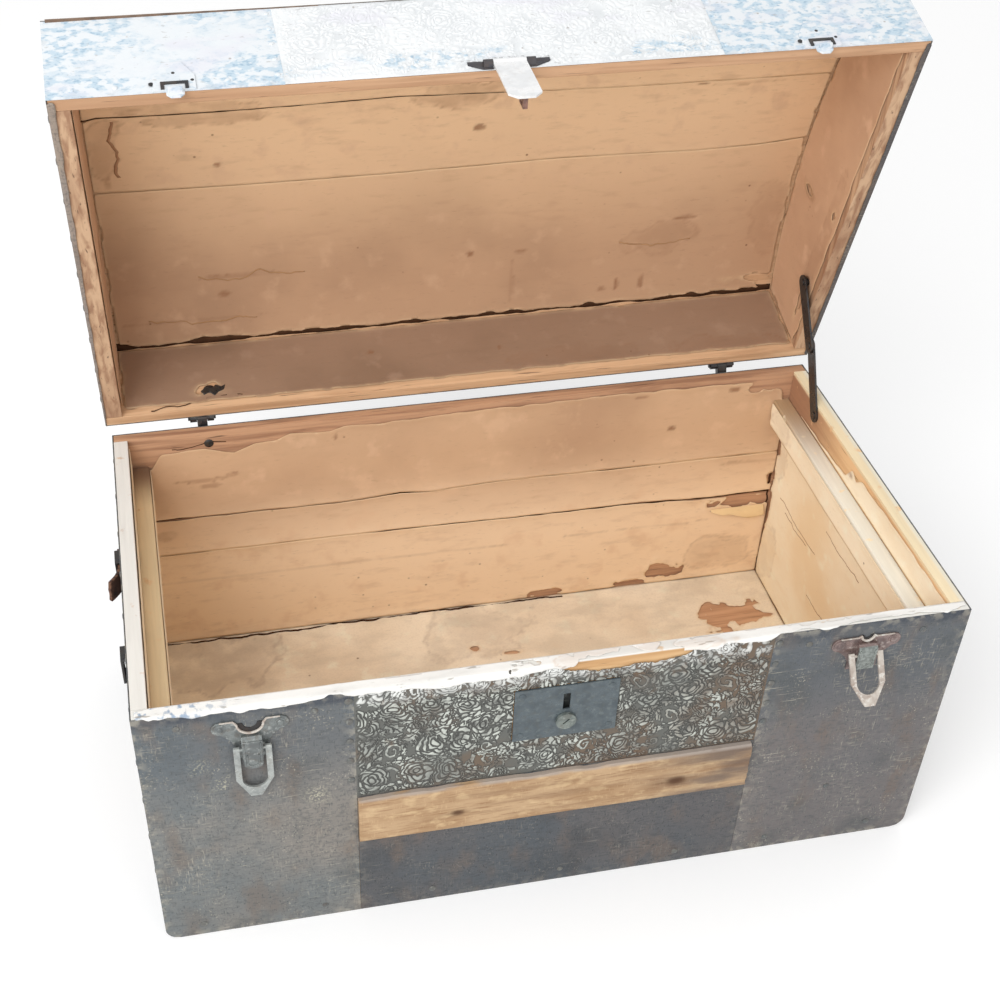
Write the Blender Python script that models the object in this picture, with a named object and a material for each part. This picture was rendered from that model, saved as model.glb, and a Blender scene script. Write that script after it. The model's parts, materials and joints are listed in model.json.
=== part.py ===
"""Camelback steamer trunk, standing open.

A box of thin boards carries sheets of painted and embossed tin, a domed lid
of four staves turns on two strap hinges, and a jointed stay at the right end
holds it open. A lock with a hasp and two bail catches close it. Metres, +Z up,
-Y is the front, and the origin is the middle of the underside. Lid pieces are
drawn where they lie when the lid is shut, and an empty on the hinge pins then
turns them open.
"""
import bmesh
import bpy
from math import acos, atan2, ceil, cos, degrees, hypot, pi, radians, sin, sqrt
from mathutils import Vector

MM = 0.001

# Box
BASE_WIDTH = 762 * MM
BASE_DEPTH = 414 * MM
BASE_HEIGHT = 305 * MM
SIDE_BOARD = 11 * MM            # thickness of front and back boards
END_BOARD = 14 * MM
FLOOR_BOARD = 13 * MM
BACK_JOINT = 193 * MM           # height of the joint between the two back boards
FOOT_RADIUS = 14 * MM           # rounded lower corners of the ends
FOOT_WRAP = radians(60)         # how far the end tin follows that corner
TIN = 0.8 * MM
CLEAT_WIDTH = 18 * MM
CLEAT_HEIGHT = 32 * MM
CLEAT_DROP = 35 * MM            # tray cleat's top below the rim

# Front of the box
PANEL_WIDTH = 383 * MM          # embossed centre panel
PANEL_HEIGHT = 137 * MM
SLAT_INSET = 0.5 * MM           # slat's end from the edge of the centre panel
SLAT_HEIGHT = 59 * MM
SLAT_THICKNESS = 6 * MM

# Lid
LID_OVERHANG_X = 5 * MM         # lid past the box at each end
LID_OVERHANG_Y = 2.5 * MM       # lid past the box at front and back
LID_WALL = 100 * MM             # straight height of the lid's front and back
LID_RISE = 32 * MM              # dome above the straight walls
LID_END_BOARD = 17 * MM
STAVE = 12 * MM
STAVE_COUNT = 4
RIM_GAP = 1.5 * MM              # between lid and box when shut
OPEN_ANGLE = radians(74)

# Strap hinges
HINGE_INSET = 94 * MM           # hinge middle from the end of the box
HINGE_WIDTH = 25 * MM
HINGE_LEAF = 2 * MM
HINGE_LENGTH = 40 * MM
HINGE_ARM_WIDTH = 7 * MM        # each of the lid leaf's two arms
PIN_BEHIND = 8.5 * MM           # pin axis behind the box
PIN_ABOVE = 4.7 * MM            # pin axis above the box rim
PIN_RADIUS = 2 * MM
KNUCKLE_RADIUS = 4 * MM

# Lid stay on the right end
STAY_BASE_SET = 80 * MM         # lower pivot in front of the back face
STAY_BASE_DROP = 12 * MM        # lower pivot below the rim
STAY_LID_SET = 92 * MM          # upper pivot in front of the back face, lid shut
STAY_LID_RISE = 24 * MM         # upper pivot above the rim, lid shut
STAY_LOWER = 75 * MM
STAY_BEND = radians(8)          # bend left at the middle joint when open
STAY_WIDTH = 16 * MM
STAY_THICKNESS = 2 * MM
STAY_HEAD = 4 * MM              # rivet head radius

# Bail catches
CATCH_INSET = 99 * MM           # catch middle from the end of the box
CATCH_PLATE = 1.5 * MM
EAR_SPREAD = 26 * MM
EAR_DROP = 23 * MM
EAR_RADIUS = 7.5 * MM
NOTCH_RADIUS = {"left": 11.5 * MM, "right": 6 * MM}  # the right plate has the smaller notch
NOTCH_DROP = {"left": 19.5 * MM, "right": 14 * MM}  # centre of the half-round notch
CATCH_FOOT = {"left": 62 * MM, "right": 55 * MM}  # lower edge of the plate below the rim
CATCH_FOOT_WIDTH = 29 * MM
SOCKET_WIDTH = 18 * MM          # raised socket in the middle of the plate
SOCKET_DEPTH = 7 * MM
BAIL_DROP = {"left": 47 * MM, "right": 35 * MM}  # bail pivot below the rim
BAIL_OUT = 4.2 * MM             # bail pivot in front of the plate
BAIL_RISE = 13 * MM             # end of a raised bail above the rim
BAIL_WIDTH = 33.4 * MM
BAIL_LEG = 5.5 * MM
BAIL_TAB = 11 * MM              # depth of the finger tab
BAIL_TAB_WIDTH = 10 * MM
BAIL_TAPER = 22 * MM            # height over which the loop narrows to its tab
BAIL_REST = {"left": 0.0, "right": radians(35)}  # swung out from hanging, stiff with rust
BAIL_THICKNESS = 2.2 * MM
BAIL_PIN_RADIUS = 1.4 * MM
KEEPER_WIDTH = 35 * MM
KEEPER_HEIGHT = 35 * MM
KEEPER_TONGUE = 9 * MM          # tongue below the lid rim
KEEPER_TONGUE_WIDTH = 15 * MM
KEEPER_LEDGE = 5 * MM           # ledge that the bail pulls on
KEEPER_LEDGE_HEIGHT = 2.6 * MM

# Lock and hasp
LOCK_WIDTH = 97 * MM
LOCK_HEIGHT = 64 * MM
LOCK_DROP = 26 * MM             # top of the plate below the rim
LOCK_PLATE = 2 * MM
CASE_WIDTH = 60 * MM
CASE_HEIGHT = 52 * MM
CASE_DEPTH = 8 * MM
CASE_WALL = 1.5 * MM
SLOT_WIDTH = 6.4 * MM
SLOT_HEIGHT = 20 * MM
SLOT_DROP = 46 * MM             # slot middle below the rim
PLUG_DROP = 69 * MM
PLUG_RADIUS = 9.5 * MM
PLUG_HEAD = 3 * MM
PLUG_SHAFT = 4 * MM
KEY_SLIT = 1.6 * MM
BOLT_LENGTH = 20 * MM
BOLT_HEIGHT = 4 * MM
BOLT_DEPTH = 2.4 * MM
HASP_WIDTH = 29 * MM
HASP_THICKNESS = 2 * MM
HASP_RISE = 6 * MM              # hasp pivot above the lid rim
HASP_TIP = 57 * MM              # tip below the rim when shut
HASP_CHAMFER = 7 * MM
HASP_REST = radians(12)         # hasp swung out from flat
HASP_KNUCKLE = 2.8 * MM
HASP_KNUCKLE_WIDTH = 8 * MM
HASP_PIN = 1.3 * MM
HASP_LEAF_WIDTH = 72 * MM
HASP_BRIDGE = 5 * MM            # height of the leaf above the knuckles
HASP_LEAF = 1.5 * MM
STAPLE_WIDTH = 4 * MM
STAPLE_HEIGHT = 14 * MM
STAPLE_EYE = 6 * MM
STAPLE_TIP = 1.2 * MM           # metal left past the eye

# Handles on the ends
HANDLE_DROP = 65 * MM           # handle line below the rim
HANDLE_SPREAD = 70 * MM         # cap middle from the middle of the end
CAP_LENGTH = 40 * MM
CAP_HEIGHT = 34 * MM
CAP_PLATE = 1.5 * MM
CAP_LOOP = 7 * MM               # loop stands out from the plate
CAP_LOOP_LENGTH = 20 * MM
CAP_WALL = 2 * MM
STRAP_THICKNESS = 4 * MM
STRAP_STUB = 28 * MM            # torn end past the loop
STRAP_TAIL = 7 * MM
STRAP_LIFT = 16 * MM            # torn end bends away from the box

CLEARANCE = 0.3 * MM            # between pieces that touch
ARC_STEP = radians(15)          # facet of small round pieces

# Levels and faces worked out from the sizes above
FRONT = -BASE_DEPTH / 2
BACK = BASE_DEPTH / 2
RIM = BASE_HEIGHT
WOOD_X = BASE_WIDTH / 2 - TIN - CLEARANCE
WOOD_Y = BASE_DEPTH / 2 - TIN - CLEARANCE
INNER_X = WOOD_X - END_BOARD
INNER_Y = WOOD_Y - SIDE_BOARD
LID_X = BASE_WIDTH / 2 + LID_OVERHANG_X
LID_Y = BASE_DEPTH / 2 + LID_OVERHANG_Y
LID_WOOD_X = LID_X - TIN - CLEARANCE
LID_WOOD_Y = LID_Y - TIN - CLEARANCE
LID_INNER_X = LID_WOOD_X - LID_END_BOARD
LID_RIM = RIM + RIM_GAP
DOME_RADIUS = (LID_WOOD_Y ** 2 + LID_RISE ** 2) / (2 * LID_RISE)
DOME_CENTRE = LID_RIM + LID_WALL + LID_RISE - DOME_RADIUS
FOOT_CORNER = min(FOOT_RADIUS, END_BOARD)
FOOT_CENTRE = (BASE_WIDTH / 2 - FOOT_CORNER, FOOT_CORNER)
PIN_Y = BACK + PIN_BEHIND
PIN_Z = RIM + PIN_ABOVE
PANEL_X = PANEL_WIDTH / 2
PANEL_FOOT = RIM - PANEL_HEIGHT
CATCH_FACE = FRONT - CLEARANCE - CATCH_PLATE
BAIL_Y = CATCH_FACE - BAIL_OUT
KEEPER_FACE = -LID_Y - CLEARANCE - CATCH_PLATE
LOCK_FACE = FRONT - CLEARANCE - LOCK_PLATE
HASP_Y = -LID_Y - CLEARANCE - HASP_KNUCKLE
HASP_Z = LID_RIM + HASP_RISE
SLOT_Z = RIM - SLOT_DROP
PLUG_Z = RIM - PLUG_DROP
CASE_TOP = RIM - LOCK_DROP - (LOCK_HEIGHT - CASE_HEIGHT) / 2
CASE_BACK = -WOOD_Y + CASE_DEPTH


def dome(y, radius):
    """Height of the dome of the given radius above a depth y."""
    return DOME_CENTRE + sqrt(radius ** 2 - y ** 2)


def turn(point, angle):
    """A (y, z) pair turned about the hinge pin."""
    y, z = point[0] - PIN_Y, point[1] - PIN_Z
    return PIN_Y + y * cos(angle) - z * sin(angle), PIN_Z + y * sin(angle) + z * cos(angle)


# Outlines, as lists of points in a plane
def rectangle(u0, v0, u1, v1):
    return [(u0, v0), (u1, v0), (u1, v1), (u0, v1)]


def arc(centre, radius, start, end, step=ARC_STEP):
    """Points on a circle from one angle to another, both included."""
    count = max(2, ceil(abs(end - start) / step - 1e-6))
    angles = [start + (end - start) * i / count for i in range(count + 1)]
    return [(centre[0] + radius * cos(a), centre[1] + radius * sin(a)) for a in angles]


def circle(centre, radius):
    return arc(centre, radius, 0, 2 * pi)[:-1]


def bar_outline(start, end, radius):
    """A bar with round ends between two points."""
    heading = atan2(end[1] - start[1], end[0] - start[0])
    return (arc(end, radius, heading - pi / 2, heading + pi / 2)
            + arc(start, radius, heading + pi / 2, heading + 3 * pi / 2))


def mirrored(half):
    """A half outline on the +u side, followed by its mirror image."""
    return half + [(-u, v) for u, v in reversed(half) if abs(u) > 1e-9]


# Solids, as meshes in closed-lid coordinates
AXES = {"X": (1, 2, 0), "Y": (0, 2, 1), "Z": (0, 1, 2)}


def prism(outline, axis, low, high):
    """An outline pushed along an axis from low to high."""
    first, second, along = AXES[axis]
    bm = bmesh.new()
    rings = []
    for level in (low, high):
        ring = []
        for u, v in outline:
            corner = [0.0, 0.0, 0.0]
            corner[first], corner[second], corner[along] = u, v, level
            ring.append(bm.verts.new(corner))
        rings.append(ring)
    bm.faces.new(rings[0])
    bm.faces.new(rings[1])
    for i in range(len(outline)):
        j = (i + 1) % len(outline)
        bm.faces.new((rings[0][i], rings[0][j], rings[1][j], rings[1][i]))
    bmesh.ops.recalc_face_normals(bm, faces=bm.faces)
    return bm


def block(x0, x1, y0, y1, z0, z1):
    return prism(rectangle(x0, y0, x1, y1), "Z", z0, z1)


def rod(axis, centre, radius, low, high):
    return prism(circle(centre, radius), axis, low, high)


def temporary(bm):
    mesh = bpy.data.meshes.new("temporary")
    bm.to_mesh(mesh)
    bm.free()
    item = bpy.data.objects.new("temporary", mesh)
    bpy.context.scene.collection.objects.link(item)
    return item


def combine(operation, base, *tools):
    """Union or difference of meshes, one tool after another."""
    for tool in tools:
        target, other = temporary(base), temporary(tool)
        modifier = target.modifiers.new("combine", "BOOLEAN")
        modifier.operation = operation
        modifier.object = other
        bpy.context.view_layer.update()
        evaluated = target.evaluated_get(bpy.context.evaluated_depsgraph_get())
        base = bmesh.new()
        base.from_mesh(evaluated.to_mesh())
        evaluated.to_mesh_clear()
        bpy.data.objects.remove(target)
        bpy.data.objects.remove(other)
    return base


def weld(base, *tools):
    return combine("UNION", base, *tools)


def cut(base, *tools):
    return combine("DIFFERENCE", base, *tools)


# Finishes: colour, roughness, metallic
FINISHES = {
    "bare_wood": ((0.56, 0.36, 0.17, 1), 0.75, 0),
    "papered_wood": ((0.62, 0.38, 0.19, 1), 0.85, 0),
    "painted_tin": ((0.19, 0.21, 0.21, 1), 0.6, 0.3),
    "embossed_tin": ((0.38, 0.37, 0.33, 1), 0.5, 0.5),
    "pale_tin": ((0.62, 0.70, 0.76, 1), 0.55, 0.3),
    "dark_iron": ((0.06, 0.06, 0.06, 1), 0.55, 0.8),
    "grey_steel": ((0.33, 0.35, 0.35, 1), 0.45, 0.85),
    "leather": ((0.07, 0.04, 0.03, 1), 0.8, 0),
}


def finish(name):
    material = bpy.data.materials.get(name)
    if material is None:
        colour, roughness, metallic = FINISHES[name]
        material = bpy.data.materials.new(name)
        material.use_nodes = True
        shader = material.node_tree.nodes["Principled BSDF"]
        shader.inputs["Base Color"].default_value = colour
        shader.inputs["Roughness"].default_value = roughness
        shader.inputs["Metallic"].default_value = metallic
    return material


ORIGINS = {}


def axis_empty(name, origin, parent=None, rotation_x=0.0):
    """An empty on a joint's axis, given where it lies when the lid is shut."""
    empty = bpy.data.objects.new(name, None)
    bpy.context.scene.collection.objects.link(empty)
    ORIGINS[name] = Vector(origin)
    empty.parent = parent
    empty.location = ORIGINS[name] - (ORIGINS[parent.name] if parent else Vector())
    empty.rotation_euler.x = rotation_x
    return empty


def piece(name, bm, finish_name, parent=None, origin=None):
    """A named node, its origin on its own joint's axis or its parent's."""
    carrier = ORIGINS[parent.name] if parent else Vector()
    seat = Vector(origin) if origin else carrier
    bmesh.ops.translate(bm, verts=bm.verts, vec=-seat)
    mesh = bpy.data.meshes.new(name)
    bm.to_mesh(mesh)
    bm.free()
    mesh.materials.append(finish(finish_name))
    mesh.shade_smooth()
    mesh.set_sharp_from_angle(angle=radians(35))
    item = bpy.data.objects.new(name, mesh)
    bpy.context.scene.collection.objects.link(item)
    item.parent = parent
    item.location = seat - carrier
    return item


for item in list(bpy.data.objects):
    bpy.data.objects.remove(item, do_unlink=True)

lid_axis = axis_empty("lid_axis", (0, PIN_Y, PIN_Z), rotation_x=-OPEN_ANGLE)
hasp_axis = axis_empty("hasp_axis", (0, HASP_Y, HASP_Z), lid_axis, -HASP_REST)
SIDES = (("left", -1), ("right", 1))


def across(side, near, far):
    """The x range between two distances from the middle, on one side."""
    return sorted((side * near, side * far))


# Box of boards
WOOD_CORNER = [(FOOT_CENTRE[0], 0)] + arc(FOOT_CENTRE, FOOT_CORNER - TIN - CLEARANCE, -FOOT_WRAP, 0)
TIN_CORNER = [(FOOT_CENTRE[0], CLEARANCE)] + arc(FOOT_CENTRE, FOOT_CORNER, -FOOT_WRAP, 0)


def wall_outline(corner, top):
    """A front or back wall that stands on rounded corners."""
    return mirrored([(0, corner[0][1])] + corner + [(corner[-1][0], top), (0, top)])


def box_boards():
    front = prism(wall_outline(WOOD_CORNER, RIM), "Y", -WOOD_Y, -INNER_Y)
    pocket = block(-CASE_WIDTH / 2, CASE_WIDTH / 2, -WOOD_Y - SIDE_BOARD, CASE_BACK,
                   CASE_TOP - CASE_HEIGHT, CASE_TOP)
    piece("front_board", cut(front, pocket), "papered_wood")
    lower = wall_outline(WOOD_CORNER, BACK_JOINT - CLEARANCE)
    piece("back_lower_board", prism(lower, "Y", INNER_Y, WOOD_Y), "papered_wood")
    upper = block(-WOOD_X, WOOD_X, INNER_Y, WOOD_Y, BACK_JOINT, RIM)
    piece("back_upper_board", upper, "papered_wood")
    end_y = INNER_Y - CLEARANCE
    for side_name, side in SIDES:
        outline = [(INNER_X, 0)] + WOOD_CORNER + [(WOOD_X, RIM), (INNER_X, RIM)]
        outline = [(side * x, z) for x, z in outline]
        piece(side_name + "_end_board", prism(outline, "Y", -end_y, end_y), "papered_wood")
        x0, x1 = across(side, INNER_X - CLEARANCE - CLEAT_WIDTH, INNER_X - CLEARANCE)
        top = RIM - CLEAT_DROP
        cleat = block(x0, x1, -end_y, end_y, top - CLEAT_HEIGHT, top)
        piece(side_name + "_tray_cleat", cleat, "bare_wood")
    floor_x = INNER_X - CLEARANCE
    names = ("floor_front_board", "floor_middle_board", "floor_rear_board")
    board = 2 * end_y / len(names)
    for i, name in enumerate(names):
        y0 = -end_y + i * board + CLEARANCE / 2
        piece(name, block(-floor_x, floor_x, y0, y0 + board - CLEARANCE, 0, FLOOR_BOARD), "papered_wood")


# Tin on the box, its slat and its handles
def box_sheets():
    half = CLEARANCE / 2
    y0, y1 = FRONT, FRONT + TIN
    for side_name, side in SIDES:
        outer = BASE_WIDTH / 2
        inner = PANEL_X + half
        outline = [(inner, CLEARANCE)] + TIN_CORNER + [(outer, RIM), (inner, RIM)]
        outline = [(side * x, z) for x, z in outline]
        piece("front_" + side_name + "_sheet", prism(outline, "Y", y0, y1), "painted_tin")
        wrap = arc(FOOT_CENTRE, FOOT_CORNER, -FOOT_WRAP, 0) + [(outer, RIM), (outer - TIN, RIM)]
        wrap += arc(FOOT_CENTRE, FOOT_CORNER - TIN, 0, -FOOT_WRAP)
        wrap = [(side * x, z) for x, z in wrap]
        end_y = BASE_DEPTH / 2 - TIN - CLEARANCE
        piece(side_name + "_end_sheet", prism(wrap, "Y", -end_y, end_y), "painted_tin")
    window = block(-CASE_WIDTH / 2, CASE_WIDTH / 2, FRONT - TIN, FRONT + 2 * TIN,
                   CASE_TOP - CASE_HEIGHT, CASE_TOP)
    panel = block(-PANEL_X + half, PANEL_X - half, y0, y1, PANEL_FOOT + half, RIM)
    piece("front_embossed_sheet", cut(panel, window), "embossed_tin")
    strip = block(-PANEL_X + half, PANEL_X - half, y0, y1, CLEARANCE, PANEL_FOOT - half)
    piece("front_lower_sheet", strip, "painted_tin")
    back = prism(wall_outline(TIN_CORNER, RIM), "Y", BACK - TIN, BACK)
    piece("back_sheet", back, "painted_tin")
    slat_y = FRONT - CLEARANCE
    slat_x = PANEL_X - SLAT_INSET
    slat = block(-slat_x, slat_x, slat_y - SLAT_THICKNESS, slat_y, PANEL_FOOT - SLAT_HEIGHT, PANEL_FOOT)
    piece("front_slat", slat, "bare_wood")


def handles():
    face = BASE_WIDTH / 2 + CLEARANCE
    middle_z = RIM - HANDLE_DROP
    inner_gap = STRAP_THICKNESS + 2 * CLEARANCE
    for side_name, side in SIDES:
        for place, y in (("front", -HANDLE_SPREAD), ("rear", HANDLE_SPREAD)):
            x0, x1 = across(side, face, face + CAP_PLATE)
            plate = block(x0, x1, y - CAP_LENGTH / 2, y + CAP_LENGTH / 2,
                          middle_z - CAP_HEIGHT / 2, middle_z + CAP_HEIGHT / 2)
            loop_half = CAP_HEIGHT / 2 - CAP_WALL
            x0, x1 = across(side, face + CAP_PLATE / 2, face + CAP_PLATE + CAP_LOOP)
            loop = block(x0, x1, y - CAP_LOOP_LENGTH / 2, y + CAP_LOOP_LENGTH / 2,
                         middle_z - loop_half, middle_z + loop_half)
            x0, x1 = across(side, face + CAP_PLATE, face + CAP_PLATE + inner_gap)
            passage = block(x0, x1, y - CAP_LENGTH, y + CAP_LENGTH,
                            middle_z - loop_half + CAP_WALL, middle_z + loop_half - CAP_WALL)
            piece(f"{side_name}_handle_{place}_cap", cut(weld(plate, loop), passage), "dark_iron")
    strap_stub("left_handle_strap_stub", -1, HANDLE_SPREAD, middle_z)


def strap_stub(name, side, loop_y, middle_z):
    """What is left of a torn leather handle, still held in its rear loop."""
    seat = BASE_WIDTH / 2 + CLEARANCE + CAP_PLATE + CLEARANCE
    half_height = CAP_HEIGHT / 2 - 2 * CAP_WALL - CLEARANCE
    start = loop_y + CAP_LOOP_LENGTH / 2 + STRAP_TAIL
    loop_end = loop_y - CAP_LOOP_LENGTH / 2
    steps = 6
    inside, outside = [], []
    for i in range(steps + 1):
        share = i / steps
        inside.append((side * (seat + STRAP_LIFT * share ** 2), loop_end - CLEARANCE - STRAP_STUB * share))
        outside.append((inside[-1][0] + side * STRAP_THICKNESS * (1 - 0.4 * share), inside[-1][1]))
    outline = [(side * seat, start)] + inside + outside[::-1] + [(side * (seat + STRAP_THICKNESS), start)]
    piece(name, prism(outline, "Z", middle_z - half_height, middle_z + half_height), "leather")


# Domed lid
def lid_boards():
    inner_radius = DOME_RADIUS - STAVE
    seat_radius = inner_radius - CLEARANCE
    inner_y = LID_WOOD_Y - SIDE_BOARD
    for name, side in (("lid_front_board", -1), ("lid_back_board", 1)):
        outline = [(side * LID_WOOD_Y, LID_RIM), (side * LID_WOOD_Y, dome(LID_WOOD_Y, seat_radius)),
                   (side * inner_y, dome(inner_y, seat_radius)), (side * inner_y, LID_RIM)]
        piece(name, prism(outline, "X", -LID_WOOD_X, LID_WOOD_X), "papered_wood", lid_axis)
    end_y = inner_y - CLEARANCE
    steps = 16
    for side_name, side in SIDES:
        top = [(end_y - 2 * end_y * i / steps) for i in range(steps + 1)]
        outline = [(-end_y, LID_RIM), (end_y, LID_RIM)] + [(y, dome(y, seat_radius)) for y in top]
        x0, x1 = across(side, LID_INNER_X, LID_WOOD_X)
        piece(f"lid_{side_name}_end_board", prism(outline, "X", x0, x1), "papered_wood", lid_axis)
    names = ("lid_front_stave", "lid_front_crown_stave", "lid_rear_crown_stave", "lid_rear_stave")
    width = 2 * LID_WOOD_Y / STAVE_COUNT
    facets = 4
    for i in range(STAVE_COUNT):
        y0 = -LID_WOOD_Y + i * width + (CLEARANCE / 2 if i else 0)
        y1 = -LID_WOOD_Y + (i + 1) * width - (CLEARANCE / 2 if i < STAVE_COUNT - 1 else 0)
        line = [y0 + (y1 - y0) * j / facets for j in range(facets + 1)]
        outline = [(y, dome(y, inner_radius)) for y in line]
        outline += [(y, dome(y, DOME_RADIUS)) for y in reversed(line)]
        piece(names[i], prism(outline, "X", -LID_WOOD_X, LID_WOOD_X), "papered_wood", lid_axis)


def lid_sheets():
    half = CLEARANCE / 2
    front_top = dome(LID_Y, DOME_RADIUS)
    y0, y1 = -LID_Y, -LID_Y + TIN
    for side_name, side in SIDES:
        x0, x1 = across(side, PANEL_X + half, LID_X)
        sheet = block(x0, x1, y0, y1, LID_RIM, front_top)
        piece(f"lid_front_{side_name}_sheet", sheet, "pale_tin", lid_axis)
    panel = block(-PANEL_X + half, PANEL_X - half, y0, y1, LID_RIM, front_top)
    piece("lid_front_embossed_sheet", panel, "embossed_tin", lid_axis)
    back = block(-LID_X, LID_X, LID_Y - TIN, LID_Y, LID_RIM, front_top)
    piece("lid_back_sheet", back, "painted_tin", lid_axis)
    steps = 16
    end_y = LID_Y - TIN - CLEARANCE
    for side_name, side in SIDES:
        top = [end_y - 2 * end_y * i / steps for i in range(steps + 1)]
        outline = [(-end_y, LID_RIM), (end_y, LID_RIM)] + [(y, dome(y, DOME_RADIUS)) for y in top]
        x0, x1 = across(side, LID_X - TIN, LID_X)
        piece(f"lid_{side_name}_end_sheet", prism(outline, "X", x0, x1), "painted_tin", lid_axis)
    inside, outside = DOME_RADIUS + CLEARANCE, DOME_RADIUS + CLEARANCE + TIN
    line = [-LID_Y + 2 * LID_Y * i / steps for i in range(steps + 1)]
    outline = [(y, dome(y, inside)) for y in line] + [(y, dome(y, outside)) for y in reversed(line)]
    piece("lid_top_sheet", prism(outline, "X", -LID_X, LID_X), "painted_tin", lid_axis)


# Strap hinges
def arm_outline(face, z0, z1):
    """A strap's end: a short stretch of leaf drawn out to the knuckle."""
    stretch = [(face, z0), (face, z1), (face + HINGE_LEAF, z0), (face + HINGE_LEAF, z1)]
    return convex(stretch + circle((PIN_Y, PIN_Z), KNUCKLE_RADIUS))


def convex(points):
    """The convex outline round some points, in order."""
    ordered = sorted(set(points))

    def chain(line):
        hull = []
        for p in line:
            while len(hull) > 1 and turns_right(hull[-2], hull[-1], p):
                hull.pop()
            hull.append(p)
        return hull[:-1]
    return chain(ordered) + chain(ordered[::-1])


def turns_right(a, b, c):
    return (b[0] - a[0]) * (c[1] - a[1]) - (b[1] - a[1]) * (c[0] - a[0]) <= 1e-12


def hinges():
    pin_hole = PIN_RADIUS + CLEARANCE
    base_face, lid_face = BACK + CLEARANCE, LID_Y + CLEARANCE
    base_top, lid_foot = RIM - 2 * KNUCKLE_RADIUS, LID_RIM + KNUCKLE_RADIUS
    half = HINGE_WIDTH / 2
    tongue = half - HINGE_ARM_WIDTH - CLEARANCE
    for side_name, side in SIDES:
        x = side * (BASE_WIDTH / 2 - HINGE_INSET)
        bore = rod("X", (PIN_Y, PIN_Z), pin_hole, x - HINGE_WIDTH, x + HINGE_WIDTH)
        leaf = block(x - half, x + half, base_face, base_face + HINGE_LEAF, base_top - HINGE_LENGTH, base_top)
        arm = arm_outline(base_face, base_top - 2 * KNUCKLE_RADIUS, base_top)
        leaf = cut(weld(leaf, prism(arm, "X", x - tongue, x + tongue)), bore)
        piece(side_name + "_hinge_base_leaf", leaf, "dark_iron")
        leaf = block(x - half, x + half, lid_face, lid_face + HINGE_LEAF, lid_foot + 2 * KNUCKLE_RADIUS,
                     lid_foot + HINGE_LENGTH)
        arm = arm_outline(lid_face, lid_foot, lid_foot + 3 * KNUCKLE_RADIUS)
        sides = [prism(arm, "X", *sorted((x + s * half, x + s * (half - HINGE_ARM_WIDTH)))) for s in (-1, 1)]
        bore = rod("X", (PIN_Y, PIN_Z), pin_hole, x - HINGE_WIDTH, x + HINGE_WIDTH)
        piece(side_name + "_hinge_lid_leaf", cut(weld(leaf, *sides), bore), "dark_iron", lid_axis)
        pin = rod("X", (PIN_Y, PIN_Z), PIN_RADIUS, x - half - PIN_RADIUS, x + half + PIN_RADIUS)
        piece(side_name + "_hinge_pin", pin, "dark_iron", origin=(x, PIN_Y, PIN_Z))


# Jointed stay
def stay():
    foot = (BACK - STAY_BASE_SET, RIM - STAY_BASE_DROP)
    head_shut = (BACK - STAY_LID_SET, RIM + STAY_LID_RISE)
    head = turn(head_shut, -OPEN_ANGLE)
    span = hypot(head[0] - foot[0], head[1] - foot[1])
    upper = sqrt(span ** 2 - (STAY_LOWER * sin(STAY_BEND)) ** 2) - STAY_LOWER * cos(STAY_BEND)

    def knee(a, b):
        """The middle joint, on the front side of the line between the pivots."""
        reach = hypot(b[0] - a[0], b[1] - a[1])
        lean = acos((STAY_LOWER ** 2 + reach ** 2 - upper ** 2) / (2 * STAY_LOWER * reach))
        heading = atan2(b[1] - a[1], b[0] - a[0]) + lean
        return a[0] + STAY_LOWER * cos(heading), a[1] + STAY_LOWER * sin(heading)

    open_knee, shut_knee = knee(foot, head), knee(foot, head_shut)
    lower_turn = heading_of(foot, shut_knee) - heading_of(foot, open_knee)
    knee_in_lid = turn(open_knee, OPEN_ANGLE)
    upper_turn = heading_of(head_shut, shut_knee) - heading_of(head_shut, knee_in_lid)
    print("stay: upper arm %.2f mm, ratios to the lid %.4f and %.4f" % (
        upper / MM, lower_turn / OPEN_ANGLE, upper_turn / OPEN_ANGLE))
    print("stay pivots: base y %.5f z %.5f, lid when open y %.5f z %.5f" % (*foot, *head))

    wall = INNER_X - CLEARANCE
    lower_x = wall - STAY_THICKNESS
    upper_x = lower_x - CLEARANCE - STAY_THICKNESS
    radius, rise = STAY_WIDTH / 2, STAY_THICKNESS / 2
    arm = prism(bar_outline(foot, open_knee, radius), "X", lower_x, wall)
    rivet = rod("X", foot, STAY_HEAD, lower_x - rise, lower_x + rise)
    piece("stay_lower_arm", weld(arm, rivet), "dark_iron", origin=(lower_x, *foot))
    arm = prism(bar_outline(head_shut, knee_in_lid, radius), "X", upper_x, upper_x + STAY_THICKNESS)
    spacer = rod("X", head_shut, STAY_HEAD, upper_x - rise, LID_INNER_X - CLEARANCE)
    rivet = rod("X", knee_in_lid, STAY_HEAD, upper_x - rise, upper_x + rise)
    piece("stay_upper_arm", weld(arm, spacer, rivet), "dark_iron", lid_axis, (upper_x, *head_shut))


def heading_of(a, b):
    """Direction from a to b, between 0 and a full turn."""
    return atan2(b[1] - a[1], b[0] - a[0]) % (2 * pi)


# Bail catches
def catch_outline(side_name):
    notch, notch_drop = NOTCH_RADIUS[side_name], NOTCH_DROP[side_name]
    half = [(0, -notch_drop - notch)]
    half += arc((0, -notch_drop), notch, -pi / 2 + ARC_STEP, 0)
    half += [(notch + 2 * CATCH_PLATE, -EAR_DROP + EAR_RADIUS)]
    half += arc((EAR_SPREAD, -EAR_DROP), EAR_RADIUS, pi / 2, -pi / 2)
    shoulder = EAR_DROP + 2 * EAR_RADIUS
    foot = CATCH_FOOT_WIDTH / 2
    half += [(foot + EAR_RADIUS / 2, -shoulder), (foot, -shoulder - EAR_RADIUS)]
    half += [(foot, -CATCH_FOOT[side_name]), (0, -CATCH_FOOT[side_name])]
    return mirrored(half)


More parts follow.
